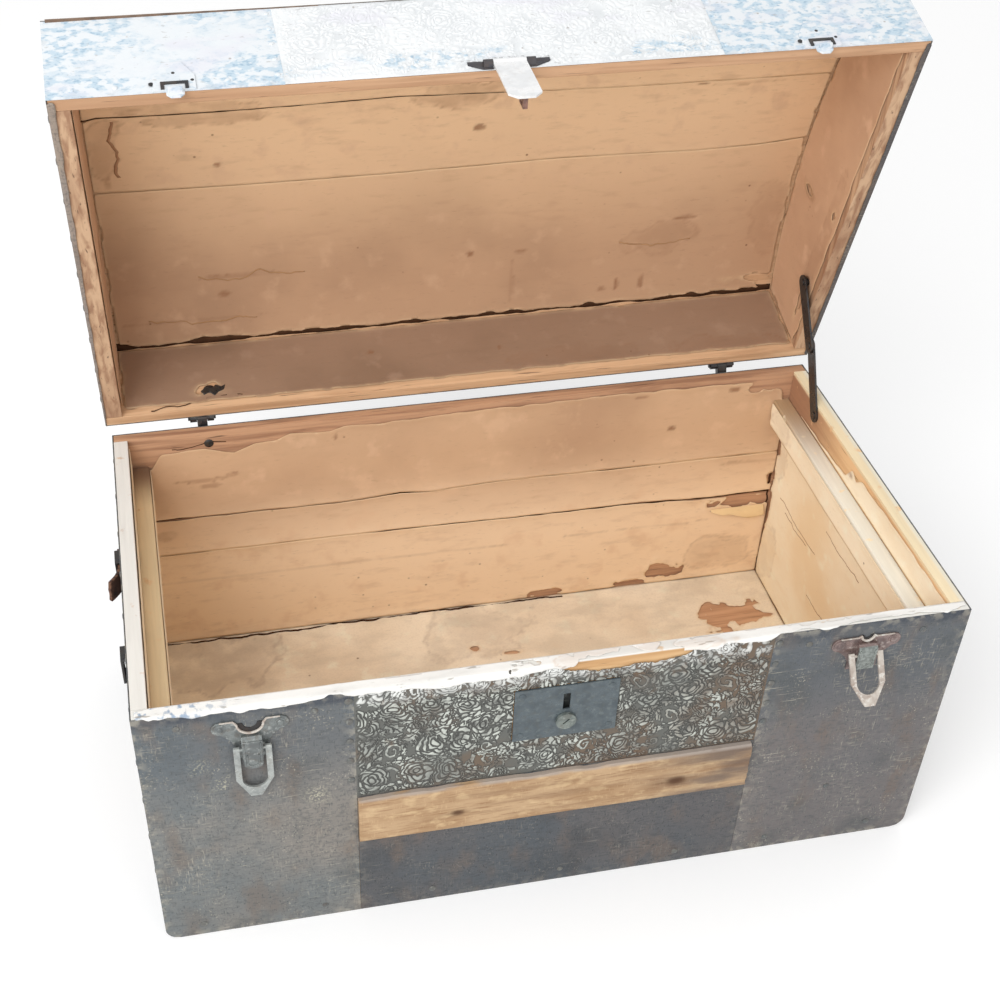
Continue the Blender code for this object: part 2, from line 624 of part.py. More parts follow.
def catch_plate(side_name, x):
    outline = [(x + u, RIM + v) for u, v in catch_outline(side_name)]
    plate = prism(outline, "Y", CATCH_FACE, CATCH_FACE + CATCH_PLATE)
    top = RIM - NOTCH_DROP[side_name] - NOTCH_RADIUS[side_name] - CATCH_PLATE
    foot = RIM - CATCH_FOOT[side_name] + CATCH_PLATE
    back = CATCH_FACE + CATCH_PLATE / 2
    front = CATCH_FACE - SOCKET_DEPTH
    slope = SOCKET_DEPTH / 2
    outline = [(back, top), (back, foot), (front + slope, foot), (front, foot + slope),
               (front, top - slope), (front + slope, top)]
    half = SOCKET_WIDTH / 2
    socket = prism(outline, "X", x - half, x + half)
    pivot = (BAIL_Y, RIM - BAIL_DROP[side_name])
    bore = rod("X", pivot, BAIL_PIN_RADIUS + CLEARANCE, x - SOCKET_WIDTH, x + SOCKET_WIDTH)
    piece(side_name + "_catch_plate", cut(weld(plate, socket), bore), "grey_steel")


def bail(side_name, x):
    name = side_name + "_catch_bail"
    pivot_z = RIM - BAIL_DROP[side_name]
    reach = BAIL_DROP[side_name] + BAIL_RISE
    outer = BAIL_WIDTH / 2
    inner = outer - BAIL_LEG
    foot = pivot_z - reach
    bow = foot + BAIL_TAB + inner
    head = pivot_z + BAIL_LEG / 2
    half = [(0, foot), (BAIL_TAB_WIDTH / 2, foot), (outer, foot + BAIL_TAPER), (outer, head), (inner, head)]
    half += arc((0, bow), inner, 0, -pi / 2)
    outline = [(x + u, v) for u, v in mirrored(half)]
    y0, y1 = BAIL_Y - BAIL_THICKNESS / 2, BAIL_Y + BAIL_THICKNESS / 2
    pins = []
    for s in (-1, 1):
        x0, x1 = sorted((x + s * SOCKET_WIDTH / 4, x + s * (inner + BAIL_LEG / 2)))
        pins.append(rod("X", (BAIL_Y, pivot_z), BAIL_PIN_RADIUS, x0, x1))
    bail_axis = axis_empty(name + "_axis", (x, BAIL_Y, pivot_z), rotation_x=-BAIL_REST[side_name])
    piece(name, weld(prism(outline, "Y", y0, y1), *pins), "grey_steel", bail_axis)


def keeper(name, x):
    half = KEEPER_WIDTH / 2
    tongue = KEEPER_TONGUE_WIDTH / 2
    foot = LID_RIM + CLEARANCE
    shoulder = LID_RIM + KEEPER_HEIGHT / 2
    tip = LID_RIM - KEEPER_TONGUE
    outline = [(0, tip), (tongue / 2, tip), (tongue, tip + tongue / 2), (tongue, foot), (half, foot),
               (half, shoulder), (tongue, LID_RIM + KEEPER_HEIGHT), (0, LID_RIM + KEEPER_HEIGHT)]
    outline = [(x + u, v) for u, v in mirrored(outline)]
    plate = prism(outline, "Y", KEEPER_FACE, KEEPER_FACE + CATCH_PLATE)
    ledge_top = RIM - CLEARANCE
    ledge = block(x - tongue + CATCH_PLATE, x + tongue - CATCH_PLATE, KEEPER_FACE - KEEPER_LEDGE,
                  KEEPER_FACE + CATCH_PLATE / 2, ledge_top - KEEPER_LEDGE_HEIGHT, ledge_top)
    piece(name, weld(plate, ledge), "grey_steel", lid_axis)


def catches():
    for side_name, side in SIDES:
        x = side * (BASE_WIDTH / 2 - CATCH_INSET)
        catch_plate(side_name, x)
        bail(side_name, x)
        keeper(side_name + "_lid_keeper", x)


# Lock and hasp
def lock():
    top = RIM - LOCK_DROP
    plate = block(-LOCK_WIDTH / 2, LOCK_WIDTH / 2, LOCK_FACE, LOCK_FACE + LOCK_PLATE, top - LOCK_HEIGHT, top)
    slot = block(-SLOT_WIDTH / 2, SLOT_WIDTH / 2, LOCK_FACE - LOCK_PLATE, LOCK_FACE + 2 * LOCK_PLATE,
                 SLOT_Z - SLOT_HEIGHT / 2, SLOT_Z + SLOT_HEIGHT / 2)
    hole = rod("Y", (0, PLUG_Z), PLUG_SHAFT + CLEARANCE, LOCK_FACE - LOCK_PLATE, LOCK_FACE + 2 * LOCK_PLATE)
    piece("lock_plate", cut(plate, slot, hole), "painted_tin")

    half = CASE_WIDTH / 2 - CLEARANCE
    z0, z1 = CASE_TOP - CASE_HEIGHT + CLEARANCE, CASE_TOP - CLEARANCE
    back = CASE_BACK - CLEARANCE
    mouth = FRONT + CLEARANCE
    shell = block(-half, half, mouth, back, z0, z1)
    hollow = block(-half + CASE_WALL, half - CASE_WALL, mouth - CASE_DEPTH, back - CASE_WALL,
                   z0 + CASE_WALL, z1 - CASE_WALL)
    rail_x0, rail_x1 = -half + CASE_WALL / 2, -SLOT_WIDTH
    rails = []
    for s in (-1, 1):
        near = SLOT_Z + s * (BOLT_HEIGHT / 2 + CLEARANCE)
        far = near + s * CASE_WALL
        rails.append(block(rail_x0, rail_x1, bolt_front(), back - CASE_WALL / 2, *sorted((near, far))))
    piece("lock_case", weld(cut(shell, hollow), *rails), "dark_iron")
    bolt_x = -SLOT_WIDTH / 2 - CLEARANCE
    bolt = block(bolt_x - BOLT_LENGTH, bolt_x, bolt_front(), bolt_front() + BOLT_DEPTH,
                 SLOT_Z - BOLT_HEIGHT / 2, SLOT_Z + BOLT_HEIGHT / 2)
    piece("lock_bolt", bolt, "grey_steel")

    face = LOCK_FACE - CLEARANCE
    head = rod("Y", (0, PLUG_Z), PLUG_RADIUS, face - PLUG_HEAD, face)
    shaft = rod("Y", (0, PLUG_Z), PLUG_SHAFT, face - PLUG_HEAD / 2, back - CASE_WALL - CLEARANCE)
    slit = [(u * cos(pi / 4) - v * sin(pi / 4), PLUG_Z + u * sin(pi / 4) + v * cos(pi / 4))
            for u, v in rectangle(-PLUG_SHAFT, -KEY_SLIT / 2, PLUG_SHAFT, KEY_SLIT / 2)]
    keyway = prism(slit, "Y", face - 2 * PLUG_HEAD, face - PLUG_HEAD / 3)
    piece("lock_key_plug", cut(weld(head, shaft), keyway), "grey_steel", origin=(0, face, PLUG_Z))


def bolt_front():
    """Front of the bolt, which leaves room behind it for the staple's tip."""
    return CASE_BACK - 3 * CLEARANCE - CASE_WALL - STAPLE_TIP - BOLT_DEPTH


def hasp():
    knuckle_x = HASP_WIDTH / 2 + CLEARANCE
    face = -LID_Y - CLEARANCE
    leaf_foot = LID_RIM + CLEARANCE
    centre = (HASP_Y, HASP_Z)
    half = HASP_LEAF_WIDTH / 2
    bore_x = HASP_LEAF_WIDTH
    hole = HASP_PIN + CLEARANCE
    bridge_foot = HASP_Z + HASP_KNUCKLE + CLEARANCE
    bridge_top = bridge_foot + HASP_BRIDGE
    shoulder = knuckle_x + HASP_KNUCKLE_WIDTH
    outline = mirrored([(0, bridge_foot), (knuckle_x, bridge_foot), (knuckle_x, leaf_foot), (shoulder, leaf_foot),
                        (half, HASP_Z), (half, bridge_top - HASP_LEAF), (shoulder, bridge_foot),
                        (knuckle_x, bridge_top), (0, bridge_top)])
    leaf = prism(outline, "Y", face - HASP_LEAF, face)
    arms = []
    for s in (-1, 1):
        stretch = [(face, leaf_foot), (face, bridge_foot), (face - HASP_LEAF, bridge_foot)]
        outline = convex(stretch + circle(centre, HASP_KNUCKLE))
        arms.append(prism(outline, "X", *sorted((s * knuckle_x, s * (knuckle_x + HASP_KNUCKLE_WIDTH)))))
    piece("hasp_leaf", cut(weld(leaf, *arms), rod("X", centre, hole, -bore_x, bore_x)), "dark_iron", lid_axis)
    piece("hasp_pin", rod("X", centre, HASP_PIN, -shoulder, shoulder), "dark_iron", lid_axis)

    width = HASP_WIDTH / 2
    tip = RIM - HASP_TIP
    outline = mirrored([(0, tip), (width - HASP_CHAMFER, tip), (width, tip + HASP_CHAMFER),
                        (width, HASP_Z), (0, HASP_Z)])
    y0, y1 = HASP_Y - HASP_THICKNESS / 2, HASP_Y + HASP_THICKNESS / 2
    plate = prism(outline, "Y", y0, y1)
    knuckle = rod("X", centre, HASP_KNUCKLE, -width, width)
    eye_back = bolt_front() + BOLT_DEPTH + CLEARANCE
    staple = block(-STAPLE_WIDTH / 2, STAPLE_WIDTH / 2, HASP_Y, eye_back + STAPLE_TIP,
                   SLOT_Z - STAPLE_HEIGHT / 2, SLOT_Z + STAPLE_HEIGHT / 2)
    eye = block(-STAPLE_WIDTH, STAPLE_WIDTH, bolt_front() - CLEARANCE, eye_back,
                SLOT_Z - STAPLE_EYE / 2, SLOT_Z + STAPLE_EYE / 2)
    plate = weld(plate, knuckle, staple)
    plate = cut(plate, eye, rod("X", centre, hole, -bore_x, bore_x))
    piece("hasp_plate", plate, "grey_steel", hasp_axis)


box_boards()
box_sheets()
handles()
lid_boards()
lid_sheets()
hinges()
stay()
catches()
lock()
hasp()
nodes = [item.name for item in bpy.data.objects if item.type == "MESH"]
print("nodes:", len(nodes), "open angle:", round(degrees(OPEN_ANGLE), 2))
bpy.context.view_layer.update()
for item in bpy.data.objects:
    if item.type == "EMPTY" or item.location.length and item.name not in ORIGINS:
        print("axis of %s:" % item.name, *("%.6f" % v for v in item.matrix_world.translation))
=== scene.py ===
# %% [markdown]
# # Dressing an old dome-topped trunk
# The packed frame holds the trunk's boards, tin sheets, hinges and catches at their real size, and it
# moves. This lesson puts the looks over it: paper lining that has torn, tin that is stamped and dented,
# worn paint, nails and old wood. Nothing here moves or resizes the frame, so every new piece rides on a
# body of the frame and goes along when the lid swings.

# %% Load the working frame
import json
import math

import bmesh
import bpy
import numpy as np
from mathutils import Matrix, Vector


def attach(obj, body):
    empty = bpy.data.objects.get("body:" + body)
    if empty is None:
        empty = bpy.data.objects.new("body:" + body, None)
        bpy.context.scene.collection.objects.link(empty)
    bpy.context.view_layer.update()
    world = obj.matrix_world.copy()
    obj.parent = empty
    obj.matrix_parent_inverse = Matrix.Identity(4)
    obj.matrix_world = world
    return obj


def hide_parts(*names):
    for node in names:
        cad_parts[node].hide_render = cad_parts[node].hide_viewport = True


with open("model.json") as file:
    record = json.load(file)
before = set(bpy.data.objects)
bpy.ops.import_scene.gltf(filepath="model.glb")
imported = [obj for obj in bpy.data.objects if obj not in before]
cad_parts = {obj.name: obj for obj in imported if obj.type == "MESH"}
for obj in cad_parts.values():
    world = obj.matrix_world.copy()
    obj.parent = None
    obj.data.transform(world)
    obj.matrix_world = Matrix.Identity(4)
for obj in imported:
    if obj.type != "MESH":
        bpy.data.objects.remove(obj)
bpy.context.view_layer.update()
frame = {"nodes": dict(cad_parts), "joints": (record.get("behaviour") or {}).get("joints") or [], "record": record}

MM = 0.001
nodes = frame["nodes"]

# %% [markdown]
# ## Working on a lid that stands open
# The frame comes with the lid open. Pieces of the lid are easier to draw as they lie when the lid is shut,
# square to the axes, and to swing open as a whole. One matrix from the lid's own hinge does that. It could
# also be read off the corners of a board, but the hinge gives it exactly.

# %% Swing between the shut and the open lid
LID_NODES = set(frame["record"]["behaviour"]["bodies"]["lid"])
hinge = next(joint for joint in frame["joints"] if joint["name"] == "lid_hinge")
pin = Vector(hinge["pos_m"])
swing = Matrix.Rotation(math.radians(-hinge["range_deg"][1]), 4, "X")
OPEN_LID = Matrix.Translation(pin) @ swing @ Matrix.Translation(-pin)
SHUT_LID = OPEN_LID.inverted()


def size_of(node):
    """Lowest and highest corner of a node in millimetres. A node of the lid is measured as it lies shut."""
    place = SHUT_LID if node in LID_NODES else Matrix.Identity(4)
    points = np.array([place @ corner.co for corner in nodes[node].data.vertices]) / MM
    return points.min(0), points.max(0)


print("shut, the lid's rim is at", round(size_of("lid_front_board")[0][2], 1), "mm")

# %% [markdown]
# ## Camera
# The camera stands in front of the trunk, a little to its left, and looks down into it. Its place, turn
# and lens were fitted to the corners of the box and the lid. Aiming by eye would be quicker, but then no
# piece could be compared with the photograph. The two shifts move the frame over the object the way it
# was cropped.

# %% Place the camera
TRUNK_MIDDLE = Vector((0, 0, 0.3))
CAMERA_PLACE = (-0.3098, -1.1130, 1.2322)
CAMERA_TURN = (49.496, -0.840, -11.429)
LENS, SENSOR = 54.435, 36.0
FRAME_SHIFT = (0.0562, 0.0604)

camera = bpy.data.objects.new("camera", bpy.data.cameras.new("camera"))
camera.location = CAMERA_PLACE
camera.rotation_euler = [math.radians(angle) for angle in CAMERA_TURN]
camera.data.lens = LENS
camera.data.sensor_width = SENSOR
camera.data.shift_x, camera.data.shift_y = FRAME_SHIFT
bpy.context.scene.collection.objects.link(camera)
bpy.context.scene.camera = camera
bpy.context.scene.view_settings.view_transform = "Standard"
print("camera", round((camera.location - TRUNK_MIDDLE).length, 2), "m from the trunk")

# %% [markdown]
# ## Studio
# A pale floor, an even white sky and one large soft lamp in front of the trunk, to its left. The level is
# set so that a colour comes out about as it is written. The white behind the trunk isn't more light: the
# floor and the sky only look brighter to the camera and to mirrors, through the Light Path node.

# %% Sky
SKY_LEVEL = 0.84


def seen_directly(tree):
    """A value that is 1 where the camera, a mirror or a glass looks, and 0 where light bounces."""
    path = tree.nodes.new("ShaderNodeLightPath")
    value = path.outputs["Is Camera Ray"]
    for other in ("Is Glossy Ray", "Is Transmission Ray"):
        larger = tree.nodes.new("ShaderNodeMath")
        larger.operation = "MAXIMUM"
        tree.links.new(value, larger.inputs[0])
        tree.links.new(path.outputs[other], larger.inputs[1])
        value = larger.outputs[0]
    return value


sky = bpy.data.worlds.new("studio_sky")
bpy.context.scene.world = sky
sky.use_nodes = True
light = sky.node_tree.nodes["Background"]
light.inputs["Color"].default_value = (1, 1, 1, 1)
light.inputs["Strength"].default_value = SKY_LEVEL
white = sky.node_tree.nodes.new("ShaderNodeBackground")
white.inputs["Color"].default_value = (1, 1, 1, 1)
chooser = sky.node_tree.nodes.new("ShaderNodeMixShader")
sky.node_tree.links.new(seen_directly(sky.node_tree), chooser.inputs[0])
sky.node_tree.links.new(light.outputs[0], chooser.inputs[1])
sky.node_tree.links.new(white.outputs[0], chooser.inputs[2])
sky.node_tree.links.new(chooser.outputs[0], sky.node_tree.nodes["World Output"].inputs["Surface"])
print("sky lights at", SKY_LEVEL, "and looks white")

# %% [markdown]
# ## Floor
# A large plain floor takes the soft shadow. It could be a shadow catcher, but a real floor also throws
# light back up on the trunk. A faint glow that only the camera and mirrors see lets it melt into the
# white sky.

# %% Floor
FLOOR_HALF = 6.0
FLOOR_SHADE = 0.86
FLOOR_GLOW = 0.17

pale = bpy.data.materials.new("pale_floor")
pale.use_nodes = True
surface = pale.node_tree.nodes["Principled BSDF"]
surface.inputs["Base Color"].default_value = (FLOOR_SHADE,) * 3 + (1,)
surface.inputs["Roughness"].default_value = 1.0
surface.inputs["Emission Color"].default_value = (1, 1, 1, 1)
glow = pale.node_tree.nodes.new("ShaderNodeMath")
glow.operation = "MULTIPLY"
glow.inputs[1].default_value = FLOOR_GLOW
pale.node_tree.links.new(seen_directly(pale.node_tree), glow.inputs[0])
pale.node_tree.links.new(glow.outputs[0], surface.inputs["Emission Strength"])

floor_mesh = bpy.data.meshes.new("floor")
square = [(x * FLOOR_HALF, y * FLOOR_HALF, 0) for x, y in ((-1, -1), (1, -1), (1, 1), (-1, 1))]
floor_mesh.from_pydata(square, [], [(0, 1, 2, 3)])
floor_mesh.materials.append(pale)
floor = bpy.data.objects.new("floor", floor_mesh)
bpy.context.scene.collection.objects.link(floor)
print("floor", 2 * FLOOR_HALF, "m wide")

# %% [markdown]
# ## Lamp
# One large soft lamp stands in front, to the left, and lights the front a little more than the right end. A
# sun lamp would do that too, but its shadows have hard edges.

# %% Lamp
LAMP_POWER = 84.0
LAMP_SIZE = 2.4
LAMP_PLACE = (-1.9, -2.3, 2.4)
LAMP_AIM = Vector((0, 0, 0.35))

lamp = bpy.data.objects.new("soft_lamp", bpy.data.lights.new("soft_lamp", "AREA"))
lamp.data.energy = LAMP_POWER
lamp.data.size = LAMP_SIZE
lamp.location = LAMP_PLACE
lamp.rotation_euler = (LAMP_AIM - lamp.location).to_track_quat("-Z", "Y").to_euler()
bpy.context.scene.collection.objects.link(lamp)
print("lamp", LAMP_POWER, "W,", LAMP_SIZE, "m wide")

# %% [markdown]
# ## Colours
# A colour is easiest to compare as three screen levels from 0 to 255. Blender's sockets take linear
# light, so one function converts it. Linear numbers could be typed in directly, but nobody can judge them
# by eye.

# %% From screen levels to linear light


def tint(red, green, blue):
    """A screen colour, 0 to 255 each, as the linear colour that Blender's sockets take."""
    shares = [channel / 255 for channel in (red, green, blue)]
    return tuple(s / 12.92 if s < 0.04045 else ((s + 0.055) / 1.055) ** 2.4 for s in shares) + (1.0,)


def toned(colour, share):
    """A screen colour made darker or lighter by a share of itself."""
    return [channel * share for channel in colour]


print("a mid grey of 128 is", round(tint(128, 128, 128)[0], 3), "in linear light")

# %% [markdown]
# ## Mixing finishes
# Every finish is a small recipe of noise nodes: a ground colour, blotches, streaks and specks over it,
# and a bump from the same noise. Wiring each one by hand fills pages, so a helper adds a node per call
# and gives back its output. Sizes are in millimetres on the object itself, so a finish keeps its scale on
# any piece.

# %% The finish mixer


class Finish:
    """A material being mixed. Each call adds one node and gives its output to the next call."""

    def __init__(self, name, metallic=0.0, roughness=0.8, specular=0.5):
        self.material = bpy.data.materials.new(name)
        self.material.use_nodes = True
        self.tree = self.material.node_tree
        self.shader = self.tree.nodes["Principled BSDF"]
        self.shader.inputs["Metallic"].default_value = metallic
        self.shader.inputs["Roughness"].default_value = roughness
        self.shader.inputs["Specular IOR Level"].default_value = specular
        self.spot = self.tree.nodes.new("ShaderNodeTexCoord").outputs["Object"]

    def feed(self, socket, value):
        if isinstance(value, bpy.types.NodeSocket):
            self.tree.links.new(value, socket)
        else:
            socket.default_value = value

    def drawn_out(self, stretch):
        """The place on the object, scaled; noise on it is longer where stretch is small."""
        mapping = self.tree.nodes.new("ShaderNodeMapping")
        mapping.inputs["Scale"].default_value = stretch
        self.tree.links.new(self.spot, mapping.inputs["Vector"])
        return mapping.outputs["Vector"]

    def mottle(self, size, stretch=(1, 1, 1), detail=4.0, warp=0.0):
        """Cloudy noise about 0 to 1, with blotches size millimetres across."""
        place = self.drawn_out(stretch)
        noise = self.tree.nodes.new("ShaderNodeTexNoise")
        self.tree.links.new(place, noise.inputs["Vector"])
        noise.inputs["Scale"].default_value = 1 / (size * MM)
        noise.inputs["Detail"].default_value = detail
        noise.inputs["Distortion"].default_value = warp
        return noise.outputs["Fac"]

    def specks(self, size, stretch=(1, 1, 1)):
        """Distance to the nearest of many scattered dots, about size millimetres apart."""
        place = self.drawn_out(stretch)
        dots = self.tree.nodes.new("ShaderNodeTexVoronoi")
        self.tree.links.new(place, dots.inputs["Vector"])
        dots.inputs["Scale"].default_value = 1 / (size * MM)
        return dots.outputs["Distance"]

    def along(self, axis):
        """The place along X, Y or Z, in metres."""
        split = self.tree.nodes.new("ShaderNodeSeparateXYZ")
        self.tree.links.new(self.spot, split.inputs[0])
        return split.outputs[axis]

    def read(self, label):
        """A value that a piece's mesh carries at each point."""
        attribute = self.tree.nodes.new("ShaderNodeAttribute")
        attribute.attribute_name = label
        return attribute.outputs["Fac"]

    def band(self, value, start, end, top=1.0):
        """0 at start, top at end, with a soft rise between; start may lie above end."""
        rise = self.tree.nodes.new("ShaderNodeMapRange")
        rise.interpolation_type = "SMOOTHSTEP"
        self.feed(rise.inputs["Value"], value)
        rise.inputs["From Min"].default_value = start
        rise.inputs["From Max"].default_value = end
        rise.inputs["To Max"].default_value = top
        return rise.outputs["Result"]

    def combine(self, operation, one, two):
        """Two values worked into one, which stays between 0 and 1."""
        node = self.tree.nodes.new("ShaderNodeMath")
        node.operation = operation
        node.use_clamp = True
        self.feed(node.inputs[0], one)
        self.feed(node.inputs[1], two)
        return node.outputs[0]

    def both(self, one, two):
        """The product of two values: high only where both are."""
        return self.combine("MULTIPLY", one, two)

    def plus(self, one, two):
        return self.combine("ADD", one, two)

    def blend(self, under, over, share):
        """One colour laid over another where share is 1; a colour is an output or three screen levels."""
        under, over = [c if isinstance(c, bpy.types.NodeSocket) else tint(*c) for c in (under, over)]
        node = self.tree.nodes.new("ShaderNodeMix")
        node.data_type = "RGBA"
        self.feed(node.inputs[0], share)
        self.feed(node.inputs[6], under)
        self.feed(node.inputs[7], over)
        return node.outputs[2]

    def done(self, colour, roughness=None, bump=None, depth=0.3, strength=0.5):
        """Wires the colour, the roughness and a bump whose height is depth millimetres."""
        self.tree.links.new(colour, self.shader.inputs["Base Color"])
        if roughness is not None:
            self.tree.links.new(roughness, self.shader.inputs["Roughness"])
        if bump is not None:
            node = self.tree.nodes.new("ShaderNodeBump")
            node.inputs["Strength"].default_value = strength
            node.inputs["Distance"].default_value = depth * MM
            self.tree.links.new(bump, node.inputs["Height"])
            self.tree.links.new(node.outputs["Normal"], self.shader.inputs["Normal"])
        return self.material


print("the mixer knows", *[name for name in vars(Finish) if not name.startswith("_")])

# %% [markdown]
# ## Paper
# The trunk was lined with brown wrapping paper. It is foxed, scuffed and water stained, and it is painted
# paler where much light falls on it, as painted light.
# The stains lie at places of their own, so they come from a value on the mesh, and the fibres and specks
# come from noise. A scanned sheet would repeat over so large a lining. A torn edge shows the pale inside of
# the paper.

# %% Paper finishes


def paper_finish(name, ground, shade, stain=(136, 94, 66), lit_band=None, lay=(0.3, 1, 1), rough=0.0):
    """Old paper; the lit band is a paler colour, painted light, with the heights it comes in between; rough is how
    gritty it is.
    """
    f = Finish(name, roughness=0.9, specular=0.25)
    colour = f.blend(ground, shade, f.band(f.mottle(170, detail=5), 0.4, 0.72))
    # Painted light: the paper turns paler between two heights, where more light falls on it.
    if lit_band:
        paler, start, end = lit_band
        colour = f.blend(colour, paler, f.band(f.along("Z"), start, end, 0.85))
    colour = f.blend(colour, shade, f.band(f.mottle(9, lay, 5), 0.5, 0.8, 0.3))
    colour = f.blend(colour, toned(shade, 0.86), f.band(f.mottle(2.5, lay, 4), 0.6, 0.76, 0.2))
    colour = f.blend(colour, [min(255, c + 16) for c in ground], f.band(f.mottle(26), 0.55, 0.75, 0.5))
    if rough:
        gritty = toned(shade, 0.78)
        colour = f.blend(colour, gritty, f.band(f.mottle(2.4, detail=10), 0.42, 0.8, 0.6 * rough))
        colour = f.blend(colour, gritty, f.band(f.mottle(34, (0.5, 1, 1), 10), 0.44, 0.66, rough))
    foxing = f.both(f.band(f.specks(21), 0.09, 0.03), f.band(f.mottle(70), 0.5, 0.62))
    colour = f.blend(colour, (112, 74, 50), f.both(foxing, 0.75))
    scuff = f.both(f.band(f.mottle(5, (0.25, 1, 1)), 0.66, 0.72), f.band(f.mottle(90), 0.55, 0.65))
    colour = f.blend(colour, (122, 82, 56), f.both(scuff, 0.16))
    soaked = f.both(f.read("stain"), f.band(f.mottle(30, detail=9), 0.2, 0.56))
    colour = f.blend(colour, stain, f.both(soaked, 0.85))
    colour = f.blend(colour, (226, 196, 156), f.both(f.read("torn"), 0.55))
    fibre = f.plus(f.both(f.mottle(1.2, detail=2), 0.4), f.both(f.mottle(22), 0.6))
    return f.done(colour, bump=fibre, depth=0.5, strength=0.45)


FRONT_TO_BACK = (1, 0.3, 1)
# Painted light: the back wall's paper is paler low down, and the lid's paper paler towards the lid's front.
wall_paper = paper_finish("wall_paper", (211, 175, 141), (193, 157, 126),
                          lit_band=((252, 224, 190), 0.25, 0.10))
# The floor and end papers are the same paper painted much paler, as painted light, for the lit floor and right
# end.
floor_paper = paper_finish("floor_paper", (252, 240, 218), (236, 219, 194), stain=(172, 153, 137),
                           rough=0.3)
end_paper = paper_finish("end_paper", (254, 243, 218), (244, 222, 186), lay=FRONT_TO_BACK)
lid_paper = paper_finish("lid_paper", (190, 153, 122), (172, 137, 109), lit_band=((244, 208, 167), 0.40, 0.66))
lid_end_paper = paper_finish("lid_end_paper", (206, 169, 138), (188, 151, 122), lay=FRONT_TO_BACK)
lid_back_paper = paper_finish("lid_back_paper", (154, 125, 103), (138, 111, 90))
torn_paper = paper_finish("torn_paper", (238, 208, 160), (220, 186, 142))
print("seven papers mixed")

# %% [markdown]
# ## Wood
# Under the paper are pine boards, gone red-brown. Grain is noise drawn out along the board, in a broad
# band and in fine streaks; a wave texture would draw clearer rings than such boards show. Where an edge
# faces the light it is painted almost white as painted highlight, and where boards lie in shade they are
# painted darker as painted shade, on the cleats with grime; each is a second colour blended in by its place.

# %% Wood finishes
ALONG_X, ALONG_Y, ALONG_Z = (0.05, 1, 1), (1, 0.05, 1), (1, 1, 0.05)


def wood_finish(name, light_wood, dark_wood, grain, lit_top=None, outer=None, rear=None, rear_shade=None):
    """Old wood; the top along Z and the outer edge along X get a painted highlight, and rear gives grime with
    painted shade along Y; each is a colour and two places.

    The rear shade is painted shade like rear, but lies under the other three.
    """
    f = Finish(name, roughness=0.8, specular=0.3)
    streak = f.mottle(6, grain, 6, 0.5)
    colour = f.blend(light_wood, dark_wood, f.band(streak, 0.38, 0.68, 0.9))
    colour = f.blend(colour, dark_wood, f.band(f.mottle(45, grain, 3), 0.5, 0.7, 0.6))
    colour = f.blend(colour, toned(dark_wood, 0.45), f.band(f.mottle(2.2, grain, 3), 0.64, 0.74, 0.7))
    for axis, fading in (("Y", rear_shade), ("Z", lit_top), ("X", outer), ("Y", rear)):
        if fading:
            light_shade_grime_tone, start, full = fading
            # Painted highlights, painted shade and the cleats' grime come in here, broken up by a mottle.
            worn = f.both(f.band(f.along(axis), start, full), f.band(f.mottle(16, detail=6), 0.26, 0.38))
            colour = f.blend(colour, f.blend(light_shade_grime_tone, toned(light_shade_grime_tone, 0.86), streak), worn)
    return f.done(colour, bump=streak, depth=0.6, strength=0.5)


board_x = wood_finish("old_pine", (200, 157, 124), (158, 118, 92), ALONG_X)
floor_pine = wood_finish("floor_pine", (216, 174, 140), (188, 144, 112), ALONG_X)
lid_front_pine = wood_finish("lid_front_pine", (202, 162, 128), (180, 140, 108), ALONG_X)
lid_pine = wood_finish("lid_pine", (220, 182, 144), (194, 154, 118), ALONG_X)
# The upper edges of the ends and of the front board are painted almost white as painted highlight.
left_rim = wood_finish("left_end_lit_edge", (214, 172, 130), (170, 124, 92), ALONG_Y,
                       ((240, 237, 230), 0.288, 0.3025))
# The right end is painted paler than the left as painted light, with painted shade towards the back.
right_rim = wood_finish("right_end_lit_edge", (242, 206, 158), (224, 184, 138), ALONG_Y,
                        ((252, 234, 196), 0.3000, 0.3036), ((246, 239, 220), 0.374, 0.378),
                        rear_shade=((182, 138, 108), 0.02, 0.16))
rim_x = wood_finish("front_board_lit_edge", (216, 178, 132), (188, 144, 98), ALONG_X,
                    ((240, 238, 232), 0.3025, 0.3042))
# The cleats' tops are painted near white as painted highlight and darken towards the back with grime and painted
# shade; the right cleat is painted paler as painted light.
right_cleat = wood_finish("right_cleat_wood", (254, 236, 198), (246, 220, 178), ALONG_Y,
                          ((254, 251, 238), 0.260, 0.2685), rear=((196, 166, 130), 0.050, 0.188))
left_cleat = wood_finish("left_cleat_wood", (236, 200, 156), (214, 174, 130), ALONG_Y,
                         ((244, 220, 178), 0.260, 0.2685), rear=((140, 112, 90), 0.120, 0.186))
lid_end_wood = wood_finish("lid_end_wood", (200, 166, 134), (152, 114, 88), ALONG_Z)
print("ten woods mixed")

# %% [markdown]
# ## Joints, cracks and tide marks
# Dust gathers in the joints of the boards, paper cracks along its fibres, and water leaves a brown line
# where it dried. All three are thin lines with two dull tones, so one recipe mixes them.

# %% Finishes of the lines


def line_finish(name, one_tone, other_tone, size=9):
    f = Finish(name, roughness=0.95, specular=0.1)
    return f.done(f.blend(one_tone, other_tone, f.mottle(size)))


grime = line_finish("joint_grime", (46, 31, 22), (92, 62, 42))
crack_line = line_finish("paper_crack", (196, 157, 116), (150, 112, 81), 14)
tide_line = line_finish("tide_line", (180, 141, 109), (156, 115, 86))
print("three lines mixed, the darkest for the joints")

# %% [markdown]
# ## Making a piece
# A mesh becomes a piece of the trunk in one place: it gets its finish, its smooth shading and any values
# it carries, and it rides on its body. Meshes are drawn in millimetres and scaled once, here. The points of
# a lid piece are swung open one by one; turning the whole object would do too, but its box would then be
# measured askew.

# %% A mesh becomes a piece
SHARP = math.radians(38)


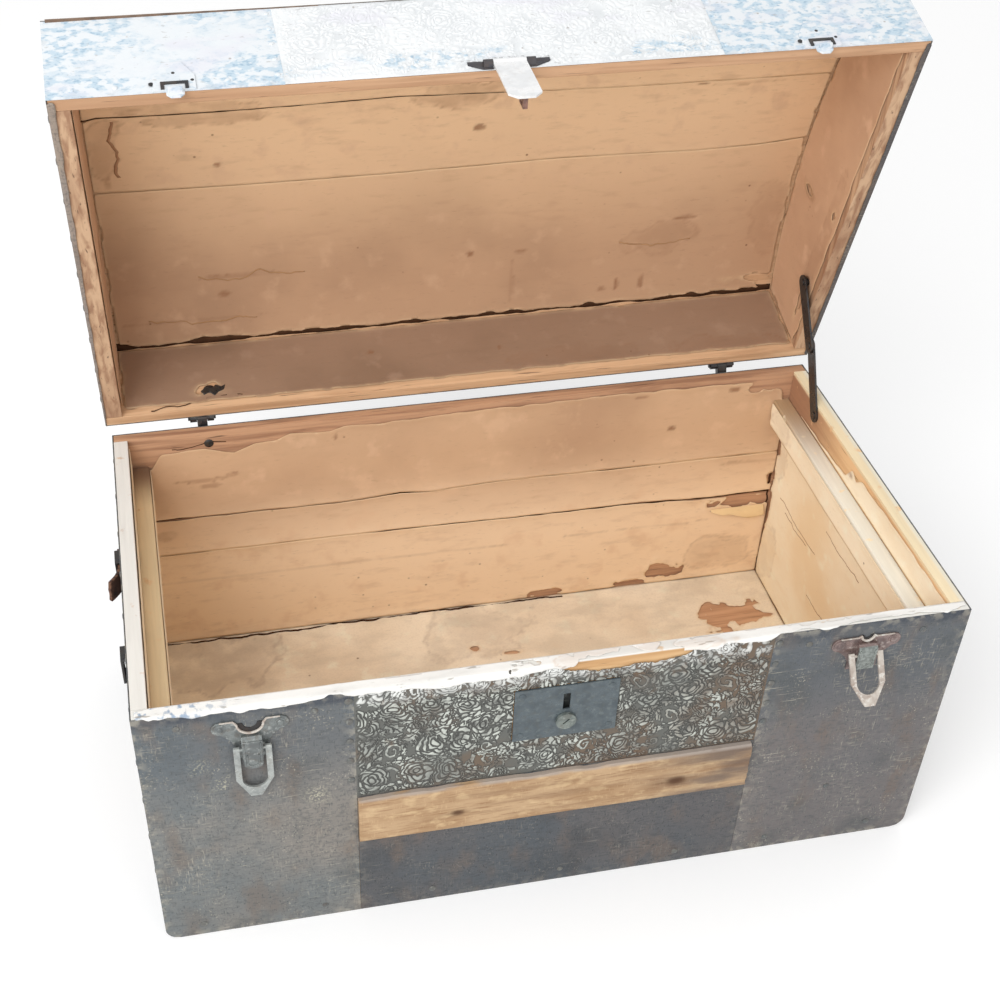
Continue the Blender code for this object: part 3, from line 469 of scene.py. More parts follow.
def piece(name, points, faces, finish, body, facts=None, thick=0.0):
    """Makes a mesh from points in millimetres, with the lid shut, and lets it ride on a body."""
    mesh = bpy.data.meshes.new(name)
    points = np.asarray(points) * MM
    if body == "lid":
        points = points @ np.array(OPEN_LID)[:3, :3].T + np.array(OPEN_LID)[:3, 3]
    mesh.from_pydata(points.tolist(), [], faces)
    for label, values in (facts or {}).items():
        attribute = mesh.attributes.new(label, "FLOAT", "POINT")
        attribute.data.foreach_set("value", np.asarray(values, np.float32))
    mesh.materials.append(finish)
    mesh.shade_smooth()
    mesh.set_sharp_from_angle(angle=SHARP)
    made = bpy.data.objects.new(name, mesh)
    bpy.context.scene.collection.objects.link(made)
    if thick:
        skin = made.modifiers.new("thickness", "SOLIDIFY")
        skin.thickness = thick * MM
        skin.offset = -1
    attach(made, body)
    return made


print("faces that meet at less than", round(math.degrees(SHARP)), "degrees are shaded as one")

# %% [markdown]
# ## Uneven by rule
# Nothing on an old trunk is even, but the lesson must come out the same each time. Lattice noise from a
# seeded generator gives soft blotches that are always the same ones. It drives the torn edges, the dents
# and the ripples.

# %% Seeded blotches and lines
LATTICE = 97


def cloud(u, v, size, seed, layers=3):
    """Soft blotches from 0 to 1; the largest are size across and each layer is half as large."""
    u, v = np.broadcast_arrays(np.asarray(u, float), np.asarray(v, float))
    total = np.zeros(u.shape)
    for layer in range(layers):
        lattice = np.random.default_rng(seed * 10 + layer).random((LATTICE, LATTICE))
        x, y = u / size * 2 ** layer + LATTICE, v / size * 2 ** layer + LATTICE
        i, j = np.floor(x).astype(int), np.floor(y).astype(int)
        x, y = x - i, y - j
        x, y = x * x * (3 - 2 * x), y * y * (3 - 2 * y)
        i, j, k, m = i % LATTICE, j % LATTICE, (i + 1) % LATTICE, (j + 1) % LATTICE
        low = lattice[i, j] * (1 - x) + lattice[k, j] * x
        high = lattice[i, m] * (1 - x) + lattice[k, m] * x
        total += (low * (1 - y) + high * y) * 0.5 ** (layer + 1)
    return total / (1 - 0.5 ** layers)


def run(line, where):
    """Reads a line of (place, value) points, or a plain number, at every place in where."""
    if isinstance(line, (int, float)):
        return np.full(np.shape(where), float(line))
    return np.interp(where, *zip(*line))


spread = np.percentile(cloud(np.arange(900), 0, 7, 1), (1, 99))
print("blotches run from", *[round(float(v), 2) for v in spread])

# %% [markdown]
# ## Cutting a sheet along a torn line
# A torn edge could be modelled point by point. Here a sheet starts as a fine grid, and a value at each
# grid point says how far it lies inside the sheet. Cells across the zero line are cut exactly on it, so a
# tear is as ragged as the noise that drew it.

# %% Cut a grid where a value crosses zero


def cut_grid(keep, **fields):
    """Faces of a grid where keep is above zero, and the fields at their corners."""
    index = np.arange(keep.size).reshape(keep.shape)
    cells = np.stack([index[:-1, :-1], index[1:, :-1], index[1:, 1:], index[:-1, 1:]], -1).reshape(-1, 4)
    depth = keep.ravel()
    inside = depth[cells] > 0
    faces = cells[inside.all(1)].tolist()
    crossings = {}

    def crossing(one, two):
        return crossings.setdefault((min(one, two), max(one, two)), keep.size + len(crossings))

    for cell in cells[inside.any(1) & ~inside.all(1)].tolist():
        outline = []
        for here, after in zip(cell, cell[1:] + cell[:1]):
            if depth[here] > 0:
                outline.append(here)
            if (depth[here] > 0) != (depth[after] > 0):
                outline.append(crossing(here, after))
        faces.append(outline)
    one, two = np.array(list(crossings) or [(0, 0)]).T
    share = depth[one] / np.where(depth[one] == depth[two], 1, depth[one] - depth[two])
    used = np.unique(np.concatenate([np.asarray(face) for face in faces]))
    renumber = np.zeros(keep.size + len(one), int)
    renumber[used] = np.arange(len(used))
    values = {}
    for label, field in fields.items():
        flat = field.ravel()
        values[label] = np.concatenate([flat, flat[one] * (1 - share) + flat[two] * share])[used]
    return [renumber[face].tolist() for face in faces], values


slope = np.add.outer(np.arange(5.0), np.arange(5.0)) - 3.5
print("a corner cut off a grid of 16 cells leaves", len(cut_grid(slope)[0]), "faces")

# %% [markdown]
# ## Lining sheets
# The lining was pasted to each board and has split where the boards meet. A sheet is described by its
# sides, its lower and upper line and how far the paper has drawn back from each. Tears and stains are
# ovals with a ragged outline, holes are round. Near every edge the paper lifts a little. A simulated sheet
# would curl by itself, but it wouldn't tear where the real one did.

# %% One sheet of lining
PAPER_CELL = 3.0
PAPER_THICK = 0.4
PASTE = 0.3
CURL = 4.5
SMALL_STAIN = 40.0


def paper(name, sides, low, high, place, finish, body, gaps=(1, 1, 1, 1), tears=(), stains=(), seed=1,
          lip=1.0, thick=PAPER_THICK, cell=PAPER_CELL, holes=()):
    """A lining sheet; gaps are for its lower, upper, left and right edge.

    place turns a place u, v on the sheet and its distance off the board into a point.
    """
    left, right = sides
    columns = np.linspace(left, right, int((right - left) / cell) + 1)
    bottom, top = run(low, columns)[:, None], run(high, columns)[:, None]
    rows = np.linspace(0, 1, int((top - bottom).max() / cell) + 2)
    u = np.repeat(columns[:, None], len(rows), 1)
    v = bottom + (top - bottom) * rows
    inset = [v - bottom, top - v, u - left, right - u]
    for k, (gap, along) in enumerate(zip(gaps, (u, u, v, v))):
        inset[k] = inset[k] - run(gap, along) * (0.25 + 1.5 * cloud(along, 0, 17, seed + k))
    keep = np.minimum.reduce(inset)
    for at_u, at_v, wide, tall in tears:
        ragged = (0.6 * min(wide, tall) + 0.25 * max(wide, tall)) * (cloud(u, v, 18, seed + 9, 4) - 0.5)
        reach = np.hypot((u - at_u) / wide * 2, (v - at_v) / tall * 2) - 1
        keep = np.minimum(keep, reach * min(wide, tall) / 2 + ragged)
    stain = np.zeros(u.shape)
    for at_u, at_v, wide, tall, strength in stains:
        reach = np.hypot((u - at_u) / wide * 2, (v - at_v) / tall * 2)
        reach = reach + 1.4 * (cloud(u, v, 26, seed + 5, 4) - 0.5)
        ring = 0.6 if max(wide, tall) > SMALL_STAIN else 0.1
        soaked = (1 - ring) * np.clip((1.0 - reach) / 0.3, 0, 1)
        tide = ring * np.exp(-((reach - 0.98) / 0.07) ** 2)
        stain = np.maximum(stain, strength * (soaked + tide))
    edge = np.exp(-np.maximum(keep, 0) / CURL)
    off = PASTE + thick + lip * edge * cloud(u, v, 40, seed + 3) + 0.35 * cloud(u, v, 160, seed + 4)
    for at_u, at_v, radius in holes:
        keep = np.minimum(keep, np.hypot(u - at_u, v - at_v) - radius)
    faces, at = cut_grid(keep, u=u, v=v, off=off, stain=stain, torn=edge ** 4)
    points = np.stack(np.broadcast_arrays(*place(at["u"], at["v"], at["off"])), 1)
    above = np.stack(np.broadcast_arrays(*place(at["u"], at["v"], at["off"] + 1)), 1)
    a, b, c = points[faces[0][:3]]
    if np.dot(np.cross(b - a, c - a), (above - points)[faces[0][0]]) < 0:
        faces = [face[::-1] for face in faces]
    facts = {"stain": at["stain"], "torn": at["torn"]}
    return piece(name, points, faces, finish, body, facts, thick)


print("paper", PAPER_THICK, "mm thick on", PASTE, "mm of paste")

# %% [markdown]
# ## Narrow strips
# A joint is a dark gap, and a crack is a fine line in the paper. Cutting real gaps into the boards would
# change the frame, so both are narrow strips of uneven width, laid on the same surface as the paper.

# %% One joint or crack


def joint_line(name, line, place, body, width=3.0, seed=1, off=PASTE / 2, sway=0.0, finish=grime):
    """The dark joint between two boards, seen where the paper has split, or a fine crack over it."""
    u = np.arange(line[0][0], line[-1][0], PAPER_CELL)
    middle = run(line, u) + sway * (cloud(u, 0, 14, seed + 1) - 0.5)
    half = width / 2 * (0.5 + cloud(u, 0, 20, seed))
    points = np.concatenate([np.stack(np.broadcast_arrays(*place(u, middle + s * half, off)), 1)
                             for s in (-1, 1)])
    faces = [(i, i + 1, len(u) + i + 1, len(u) + i) for i in range(len(u) - 1)]
    return piece(name, points, faces, finish, body, thick=PASTE / 3)


print("a joint's strip lies", PASTE / 2, "mm above its board")

# %% [markdown]
# ## Lining of the box
# On the back wall the paper has split along the joint of the two boards and along a crack in the lower
# one, and it has come away along the top, at the right corner and above the floor. It could be one sheet
# with cuts in it, but three sheets that share their torn lines are easier to change.

# %% Line the back wall
inner_left, inner_right = size_of("left_end_board")[1][0], size_of("right_end_board")[0][0]
inner_front, inner_back = size_of("front_board")[1][1], size_of("back_upper_board")[0][1]
floor_top = size_of("floor_middle_board")[1][2]
rim = size_of("front_board")[1][2]
joint = size_of("back_upper_board")[0][2]
SPLIT = 143.0
CREASE = 104.0
TOP_TEAR = [(-366, 262), (-345, 268), (-334, 285), (-287, 287), (-257, 278), (-235, 288), (-213, 289),
            (-197, 296), (-155, 293), (-138, 298), (-79, 297), (-14, 300), (188, 301), (366, 299)]
JOINT_LINE = [(-366, joint + 3), (-285, joint + 2), (-136, joint + 1), (-80, joint + 5), (-46, joint + 2),
              (34, joint + 6), (175, joint + 4), (366, joint + 4)]
SPLIT_LINE = [(-366, SPLIT + 3), (-112, SPLIT + 3), (-22, SPLIT + 2), (108, SPLIT), (204, SPLIT),
              (278, SPLIT - 4), (366, SPLIT - 4)]
JOINT_GAP = [(-366, 1.6), (-250, 0.9), (-100, 0.7), (20, 0.4), (180, 0.15), (366, 0.0)]
SPLIT_GAP = [(-366, 0.0), (-125, 0.0), (-100, 0.5), (60, 0.8), (280, 1.2), (366, 1.8)]
wall = (inner_left, inner_right)


def on_back(u, v, off):
    return u, inner_back - off, v


paper("back_lining_upper", wall, JOINT_LINE, TOP_TEAR, on_back, wall_paper, "base", (JOINT_GAP, 2, 4, 2),
      seed=11, lip=2.6, tears=[(366, 262, 22, 44), (352, 292, 60, 10), (-283, 293, 26, 14)],
      stains=[(-296, 244, 46, 5, 1), (-262, 248, 14, 5, 1), (230, 245, 7, 6, 1), (300, 290, 16, 7, 0.9),
              (-150, 283, 5, 9, 1), (190, 292, 22, 6, 0.7), (-286, 236, 20, 6, 0.5)])
paper("back_lining_middle", wall, SPLIT_LINE, JOINT_LINE, on_back, wall_paper, "base",
      (SPLIT_GAP, JOINT_GAP, 3, 2), seed=23, lip=2.2, tears=[(361, 156, 12, 26)],
      stains=[(-340, 172, 30, 16, 0.4), (330, 186, 60, 5, 0.7)])
paper("back_lining_lower", wall, floor_top + 2, SPLIT_LINE, on_back, wall_paper, "base",
      (0.6, SPLIT_GAP, 2, 2), seed=37, lip=2.6,
      tears=[(326, 130, 78, 15), (238, 34, 42, 20), (203, 20, 40, 10), (100, 22, 44, 8)],
      stains=[(-120, CREASE, 500, 2.5, 0.5), (200, CREASE, 340, 2.5, 0.6), (320, 50, 90, 50, 0.5)])
joint_line("back_corner_grime",
           [(16, inner_right - 2), (150, inner_right - 4), (210, inner_right - 6), (262, inner_right - 3)],
           lambda u, v, off: on_back(v, u, off), "base", 2.6, 7, sway=4)
joint_line("back_joint_grime", [(-364, joint + 3), (-80, joint + 4), (190, joint + 4)], on_back, "base",
           2.6, 3)
joint_line("back_bolt_streak", [(-322, 286), (-283, 292), (-262, 290)], on_back, "base", 1.1, 8, sway=5)
joint_line("back_split_grime", [(-112, SPLIT + 3), (108, SPLIT), (278, SPLIT - 4), (364, SPLIT - 4)],
           on_back, "base", 2.6, 4)
print("back wall", round(inner_right - inner_left), "mm wide, joint at", round(joint), "mm, crack at",
      SPLIT, "mm")

# %% [markdown]
# ## The floor
# The floor's paper is paler, and old damp has left tide marks on it. Along the back wall it has cracked
# open. A flap of the wall's paper has come loose at the right and hangs over its lower edge, and a sine
# curve gives its bulge.

# %% Line the floor


def on_floor(u, v, off):
    return u, v, floor_top + off


def on_left_end(u, v, off):
    return inner_left + off, u, v


def on_right_end(u, v, off):
    return inner_right - off, u, v


def on_front(u, v, off):
    return u, inner_front + off, v


paper("floor_lining", wall, inner_front, inner_back, on_floor, floor_paper, "base", (2, 0.7, 2, 0.9),
      seed=41, lip=1.8, tears=[(300, 120, 84, 44), (352, 114, 22, 8), (-6, 120, 12, 10), (44, 106, 36, 5)],
      stains=[(-314, 160, 160, 92, 0.95), (-336, 176, 46, 24, 0.9), (-5, 150, 120, 90, 0.7),
              (270, 150, 190, 90, 0.35), (120, 165, 90, 30, 0.3)])
FLAP = (20.0, 121.0)


def folded_down(u, v, off):
    """A torn flap that hangs from its upper edge and stands off the wall in a bulge."""
    return on_back(u, FLAP[1] - v, off + 1.2 + 5 * np.sin(np.clip(v / FLAP[0], 0, 1) * 2.2))


paper("back_lining_flap", (292, 360), 0, [(292, 6), (318, 12), (340, 20), (360, 15)], folded_down,
      torn_paper, "base", (0.3, 3, 1, 1), seed=47, lip=0.5, cell=2.0)
OVER_PAPER = PASTE + PAPER_THICK + 0.45
joint_line("floor_back_crack",
           [(-362, inner_back - 4), (-240, inner_back - 5), (-90, inner_back - 3), (120, inner_back - 3)],
           on_floor, "base", 2.6, 12, OVER_PAPER + 0.3, 6)
print("floor at", round(floor_top, 1), "mm,", round(inner_back - inner_front), "mm from front to back")

# %% [markdown]
# ## The ends and the front
# The tray's cleats divide the paper of each end, so there is a sheet below, one over the cleat's face and
# one above it. One sheet bent round the cleat would do too, but old paper has cracked at such corners. At
# the right the upper sheet is torn off behind, where the lid's stay rubs along the board.

# %% Line the ends and the front
END_CRACKS = ([(60, 150), (110, 147), (168, 151)], [(84, 143), (120, 139), (150, 141)],
              [(-70, 92), (-10, 95), (62, 91)], [(-40, 196), (10, 193), (48, 195)])
LEFT_TOP = rim - 5
RIGHT_TOP = [(-196, rim - 3), (-60, rim - 4), (0, rim - 6), (12, 290), (24, 297), (36, 282), (58, 279),
             (110, 276), (196, 274)]
for side, on_end, seed, top in (("left", on_left_end, 51, LEFT_TOP),
                                ("right", on_right_end, 61, RIGHT_TOP)):
    cleat_low, cleat_high = size_of(f"{side}_tray_cleat")
    ends = (inner_front, inner_back)
    paper(f"{side}_end_lining", ends, floor_top + 2, cleat_low[2] - 1, on_end, end_paper, "base",
          (0.9, 2, 2, 3), seed=seed, tears=[(192, 205, 7, 60), (190, 120, 5, 50)],
          stains=[(180, 190, 26, 70, 0.5), (176, 60, 40, 80, 0.35)])
    for k, line in enumerate(END_CRACKS):
        joint_line(f"{side}_end_crack_{k}", line, on_end, "base", 0.7, seed + k, OVER_PAPER, 6, crack_line)
    stand = abs(on_end(0, 0, 0)[0]) - min(abs(cleat_low[0]), abs(cleat_high[0]))
    paper(f"{side}_cleat_lining", ends, cleat_low[2] + 1, cleat_high[2] - 2,
          lambda u, v, off: on_end(u, v, off + stand), end_paper, "base", (0.5, 1, 2, 3), seed=seed + 3,
          lip=0.6, stains=[(170, 256, 60, 30, 0.4)])
    # The second stain on each upper sheet is painted shadow under a torn edge.
    paper(f"{side}_end_lining_top", ends, cleat_high[2] + 1, top, on_end, end_paper, "base", (1, 2, 2, 4),
          seed=seed + 5, stains=[(120, 284, 90, 20, 0.6), (26, 288, 20, 16, 0.8)])
paper("front_lining", wall, floor_top + 2, rim - 4, on_front, wall_paper, "base", (2, 2, 3, 3), seed=71)
print("ends lined up to", LEFT_TOP, "mm, with", len(END_CRACKS), "cracks each")

# %% [markdown]
# ## Lining of the lid
# Inside the dome the paper follows the curve of the staves. A circle through the dome's inside gives the
# height for every place across it, so a flat sheet can be laid round it. The widest split runs along the
# back, where the dome meets the back board, and damp has left tide marks near the front.

# %% Measure the dome
DOME_RADIUS = 682.6
lid_left, lid_right = size_of("lid_left_end_board")[1][0], size_of("lid_right_end_board")[0][0]
lid_front, lid_back = size_of("lid_front_board")[1][1], size_of("lid_back_board")[0][1]
lid_rim = size_of("lid_front_board")[0][2]
crown_corners = np.array([SHUT_LID @ corner.co
                          for corner in nodes["lid_front_crown_stave"].data.vertices]) / MM
crown_height = crown_corners[np.abs(crown_corners[:, 1]) < 1][:, 2].min()
DOME_CENTRE = crown_height - DOME_RADIUS


def vault(y):
    """Height of the dome's inside, shut, at a place across it."""
    return DOME_CENTRE + np.sqrt(DOME_RADIUS ** 2 - np.asarray(y) ** 2)


def on_dome(u, v, off):
    height = (vault(v) - DOME_CENTRE) * (DOME_RADIUS - off) / DOME_RADIUS
    return u, v * (DOME_RADIUS - off) / DOME_RADIUS, DOME_CENTRE + height


def on_lid_back(u, v, off):
    return u, lid_back - off, v


def on_lid_front(u, v, off):
    return u, lid_front + off, v


span = (lid_left, lid_right)
print("dome inside", round(float(crown_height)), "mm high at its crown,", round(float(vault(lid_back))),
      "at its back")

# %% Line the dome
FRONT_SPLIT = [(-368, -90), (-354, -94), (-295, -92), (-193, -92), (-70, -95), (32, -91), (147, -87),
               (368, -86)]
FRONT_GAP = [(-368, 1.4), (-300, 0.8), (-100, 0.6), (20, 0.8), (60, 0.3), (200, 0.15), (368, 0.1)]
CROWN_LINE = [(-368, 2), (-234, 5), (-65, 5), (100, 2), (251, 6), (316, 4), (368, -1)]
CROWN_GAP = [(-368, 0.8), (-250, 0.3), (250, 0.2), (368, 0.5)]
BACK_GAP = [(-368, 5.5), (-300, 3.6), (-280, 5.5), (0, 4), (40, 4.8), (214, 4.2), (368, 4.8)]
paper("lid_lining_front", span, lid_front, FRONT_SPLIT, on_dome, lid_paper, "lid", (2, FRONT_GAP, 2, 2),
      seed=81, stains=[(-8, -96, 80, 26, 1), (-262, -98, 130, 16, 0.8), (-310, -104, 60, 20, 0.5)])
paper("lid_lining_middle", span, FRONT_SPLIT, CROWN_LINE, on_dome, lid_paper, "lid",
      (FRONT_GAP, CROWN_GAP, 2, 2), seed=91,
      stains=[(-8, -88, 80, 24, 1), (-258, -84, 130, 16, 0.8), (-352, -44, 34, 90, 0.8),
              (-245, -23, 9, 6, 1), (12, -46, 12, 9, 1), (234, -84, 16, 5, 1), (275, -80, 180, 2.5, 0.7)])
paper("lid_lining_rear", span, CROWN_LINE, lid_back, on_dome, lid_paper, "lid", (CROWN_GAP, BACK_GAP, 3, 3),
      seed=101, tears=[(362, 188, 22, 14), (344, 178, 40, 5)],
      stains=[(251, 94, 26, 5, 1), (-248, 140, 14, 8, 1), (15, 117, 8, 6, 1), (71, 120, 18, 4, 0.8),
              (62, 160, 5, 44, 0.6), (165, 176, 12, 5, 1), (182, 170, 6, 14, 1), (211, 170, 6, 16, 1),
              (235, 118, 90, 40, 0.55), (-225, 119, 90, 5, 1), (345, 100, 40, 120, 0.35),
              (-275, 168, 130, 3, 0.7)])
print("dome lined between", round(lid_left), "and", round(lid_right), "mm")

# %% [markdown]
# ## Walls of the lid
# The paper of the lid's back is painted darkest, and the ends have arched sheets. The stay's upper arm is
# riveted to the right end through the paper, so that sheet gets a hole round the rivet, which is found on
# the arm's own solid. Grime shows in the joints behind and in front, and the wide strip behind also paints
# the shadow along that seam.

# %% Line the lid's back, front and ends
RIVET_CLEAR = 6.0
paper("lid_back_lining", span, lid_rim + 6, vault(lid_back) - 1, on_lid_back, lid_back_paper, "lid",
      (3, 2, 3, 3), seed=111, tears=[(-276, 332, 26, 12), (-230, 312, 60, 6)],
      stains=[(-300, 312, 120, 12, 1), (-100, 361, 7, 5, 1), (41, 350, 8, 6, 1), (120, 330, 160, 24, 0.4),
              (300, 322, 120, 30, 0.6)])
paper("lid_front_lining", span, lid_rim + 4, vault(lid_front) - 1, on_lid_front, lid_paper, "lid",
      (3, 2, 3, 3), seed=121)
# A wide strip: grime in the back joint together with its painted shadow.
joint_line("lid_back_grime_and_shadow", [(lid_left, lid_back - 4.2), (lid_right, lid_back - 4.2)], on_dome, "lid",
           7.5, 5)
joint_line("lid_front_grime", FRONT_SPLIT[:6], on_dome, "lid", 2.4, 6)
arch = [(y, float(vault(y)) - 2) for y in np.linspace(lid_front, lid_back, 41)]
rivet = np.array([SHUT_LID @ corner.co for corner in nodes["stay_upper_arm"].data.vertices]) / MM
rivet = rivet[rivet[:, 0] > rivet[:, 0].max() - 0.1].mean(0)
RIVET_HOLE = (rivet[1], rivet[2], RIVET_CLEAR)
for side, at_x, way, seed, holes in (("left", lid_left, 1, 131, []),
                                     ("right", lid_right, -1, 141, [RIVET_HOLE])):
    paper(f"lid_{side}_end_lining", (lid_front, lid_back), lid_rim + 5, arch,
          lambda u, v, off, at_x=at_x, way=way: (at_x + way * off, u, v), lid_end_paper, "lid",
          (3, 2.5, 2, 4), seed=seed, holes=holes,
          tears=[(38, 388, 8, 16), (18, 326, 12, 6), (150, 330, 30, 8)],
          stains=[(38, 385, 22, 40, 0.9), (60, 330, 160, 18, 0.5)])
print("hole for the stay's rivet", round(RIVET_HOLE[0]), "mm behind the middle")

# %% [markdown]
# ## Cracks and a tide line
# Dry paper cracks along the dome, and water has drawn a brown line down its left end and run along the
# back. Each is a wavering strip just above the paper. Drawn as colour they would need a far finer sheet.

# %% Cracks in the lid's paper
LID_CRACKS = ([(-274, 118), (-240, 123), (-214, 116), (-160, 119)], [(-330, 168), (-276, 172), (-214, 169)],
              [(180, 120), (216, 128), (262, 122)])
for k, line in enumerate(LID_CRACKS):
    joint_line(f"lid_crack_{k}", line, on_dome, "lid", 1.3, 151 + k, OVER_PAPER, 10, crack_line)
joint_line("lid_tide_line", [(-88, -338), (-64, -344), (-40, -336), (-14, -340)],
           lambda u, v, off: on_dome(v, u, off), "lid", 3.4, 157, OVER_PAPER, 12, tide_line)
joint_line("lid_back_streak", [(-338, 309), (-300, 314), (-262, 321), (-226, 316), (-192, 318)],
           on_lid_back, "lid", 1.3, 159, OVER_PAPER, 7)
print(len(LID_CRACKS), "cracks, a tide line and a streak")

# %% [markdown]
# ## Painted tin
# Thin tin covers the boards outside. Its dark paint has weathered to slate and brown-grey, with chalky
# specks, long scratches and rust. Five paints differ only in their colours, so one recipe makes all.

# %% Tin finishes


def paint_finish(name, cool, warm, fleck=(160, 153, 138), lead=None, top=None, upper=None):
    """Weathered paint; lead gives a colour and two places along X, upper and top two along Z."""
    f = Finish(name, roughness=0.6, specular=0.35)
    colour = f.blend(cool, warm, f.band(f.mottle(150, detail=6), 0.38, 0.62))
    for axis, fading, most in (("X", lead, 0.8), ("Z", upper, 0.7)):
        if fading:
            shade, start, end = fading
            colour = f.blend(colour, shade, f.band(f.along(axis), start, end, most))
    dark = toned(cool, 0.7)
    colour = f.blend(colour, dark, f.band(f.mottle(58, detail=9), 0.5, 0.72, 0.6))
    colour = f.blend(colour, (114, 97, 84), f.band(f.mottle(34, (1, 1, 0.5), 9), 0.5, 0.7, 0.5))
    grain = f.mottle(1.6, (1, 1, 0.4), 8)
    colour = f.blend(colour, dark, f.band(grain, 0.52, 0.34, 0.5))
    colour = f.blend(colour, dark, f.band(f.mottle(2, (0.3, 1, 1), 8), 0.5, 0.34, 0.45))
    worn_spots = f.band(f.mottle(40, (1, 1, 0.6), 9), 0.42, 0.64)
    for stretch in ((1, 1, 0.14), (0.14, 1, 1)):
        scratches = f.band(f.mottle(1.5, stretch, 5), 0.55, 0.75, 0.6)
        colour = f.blend(colour, fleck, f.both(scratches, worn_spots))
    chips = f.both(f.band(f.mottle(2, detail=4), 0.57, 0.72, 0.75),
                   f.band(f.mottle(30, detail=8), 0.46, 0.64))
    colour = f.blend(colour, fleck, chips)
    long_scratch = f.both(f.band(f.mottle(1.6, (0.03, 1, 1)), 0.66, 0.71, 0.6),
                          f.band(f.mottle(60), 0.52, 0.6))
    colour = f.blend(colour, toned(fleck, 1.12), long_scratch)
    if top:
        shade, start, end = top
        under_rim_line = f.both(f.band(f.along("Z"), start, end),
                                f.band(f.mottle(30, (0.3, 1, 1), 6), 0.36, 0.6))
        colour = f.blend(colour, shade, under_rim_line)
    worn = f.both(f.read("edge"), f.band(f.mottle(9, detail=6), 0.46, 0.62))
    colour = f.blend(colour, fleck, f.both(worn, 0.5))
    chalky = f.both(f.read("chalk"), f.band(f.mottle(2.2, detail=7), 0.5, 0.62))
    colour = f.blend(colour, (184, 179, 158), chalky)
    return f.done(colour, f.band(grain, 0.1, 0.7, 0.8), f.plus(grain, f.mottle(7, detail=5)), 0.3, 0.5)


front_paint = paint_finish("slate_paint", (109, 114, 115), (130, 125, 119), (170, 164, 150),
                           ((103, 98, 99), 0.08, 0.24), ((58, 64, 74), 0.288, 0.300),
                           ((84, 92, 99), 0.15, 0.26))
end_paint = paint_finish("end_paint", (92, 98, 102), (110, 104, 98))
low_paint = paint_finish("foot_paint", (80, 85, 90), (92, 90, 91), (128, 124, 116))
top_paint = paint_finish("dome_paint", (88, 84, 84), (106, 94, 86))
fold_paint = paint_finish("fold_paint", (138, 128, 122), (150, 136, 124))
print("five weathered paints mixed")

# %% [markdown]
# ## Dents
# Thin tin on old boards is never flat. A bump would do from afar, but not along an edge, so the dents are
# real shape: each sheet is a finer copy of its solid, cut on a grid and pushed outward by a soft noise.

# %% A finer copy of a solid
TIN_CELL = 8.0


def fine_copy(node, cell):
    """Points and faces of a node's solid, cut on a grid of cell millimetres."""
    low, high = size_of(node)
    mesh = bmesh.new()
    mesh.from_mesh(nodes[node].data)
    bmesh.ops.remove_doubles(mesh, verts=mesh.verts, dist=1e-6)
    if node in LID_NODES:
        mesh.transform(SHUT_LID)
    mesh.transform(Matrix.Scale(1 / MM, 4))
    for axis in range(3):
        normal = Vector([float(k == axis) for k in range(3)])
        for value in np.arange(low[axis] + cell, high[axis] - cell / 4, cell):
            everything = mesh.verts[:] + mesh.edges[:] + mesh.faces[:]
            bmesh.ops.bisect_plane(mesh, geom=everything, plane_co=normal * value, plane_no=normal)
    mesh.verts.index_update()
    points = np.array([corner.co for corner in mesh.verts])
    faces = [[corner.index for corner in face.verts] for face in mesh.faces]
    mesh.free()
    return points, faces


print("the back sheet becomes", len(fine_copy("back_sheet", TIN_CELL)[1]), "faces")

# %% [markdown]
# ## Dented sheets
# The noise pushes a sheet outward only, so it never sinks into its board, and it is calmer along the edges,
# where the nails hold it. Ten sheets need the same call, so they stand in a list.

# %% Dented copies of the tin sheets
DENT = 0.55


def tin(node, finish, thin, seed=1, chalks=()):
    """A dented sheet in place of its solid; thin is its thin axis, chalks are spots of chalky bloom."""
    points, faces = fine_copy(node, TIN_CELL)
    low, high = size_of(node)
    flat = [axis for axis in range(3) if axis != thin]
    inset = np.min([np.minimum(points[:, a] - low[a], high[a] - points[:, a]) for a in flat], 0)
    outward = np.sign((low + high)[thin])
    u, v = points[:, flat[0]], points[:, flat[1]]
    swell = DENT * cloud(u, v, 70, seed) * np.clip(inset / 20, 0.15, 1)
    ripple = 0.3 * DENT * cloud(u, v, 18, seed + 1)
    points[:, thin] += outward * (swell + ripple)
    chalk = np.zeros(len(points))
    for at_u, at_v, size in chalks:
        chalk = np.maximum(chalk, np.exp(-(np.hypot(u - at_u, v - at_v) / size) ** 2))
    facts = {"edge": np.exp(-inset / 5), "chalk": chalk, "rise": (points[:, 2] - low[2]) / 100}
    body = "lid" if node in LID_NODES else "base"
    made = piece(node.replace("_sheet", "_tin"), points, faces, finish, body, facts)
    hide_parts(node)
    return made


CHALKS = [(-311, 212, 7), (-330, 236, 6), (-228, 178, 9)]
SHEETS = (("front_left", front_paint, 1), ("front_right", front_paint, 1), ("front_lower", low_paint, 1),
          ("back", end_paint, 1), ("left_end", end_paint, 0), ("right_end", end_paint, 0),
          ("lid_back", top_paint, 1), ("lid_left_end", top_paint, 0), ("lid_right_end", top_paint, 0),
          ("lid_top", top_paint, 2))
tins = []
for k, (name, paint, thin) in enumerate(SHEETS):
    chalks = CHALKS if name == "front_left" else ()
    tins.append(tin(f"{name}_sheet", paint, thin, seed=201 + 4 * k, chalks=chalks))
print(len(tins), "dented sheets,", sum(len(made.data.polygons) for made in tins), "faces")

# %% [markdown]
# ## Stamped tin
# The middle of the front is tin stamped with flowers and scrolls by steel rollers. A bump map would look
# flat from the side, so the pattern is a real height at each point of a fine grid. It is built from three
# generic motifs, a rose, a scroll and a leaf. Each one first clears its own ground and then stands up
# from it, and wavy lines fill what is left between them.

# %% Motifs for the stamped pattern


def soft(value, width):
    """0 to 1 over width, with a rounded shoulder."""
    share = np.clip(value / width, 0, 1)
    return share * share * (3 - 2 * share)


ROSE_RINGS = ((0.26, 2), (0.5, 3), (0.75, 4), (1.0, 5))


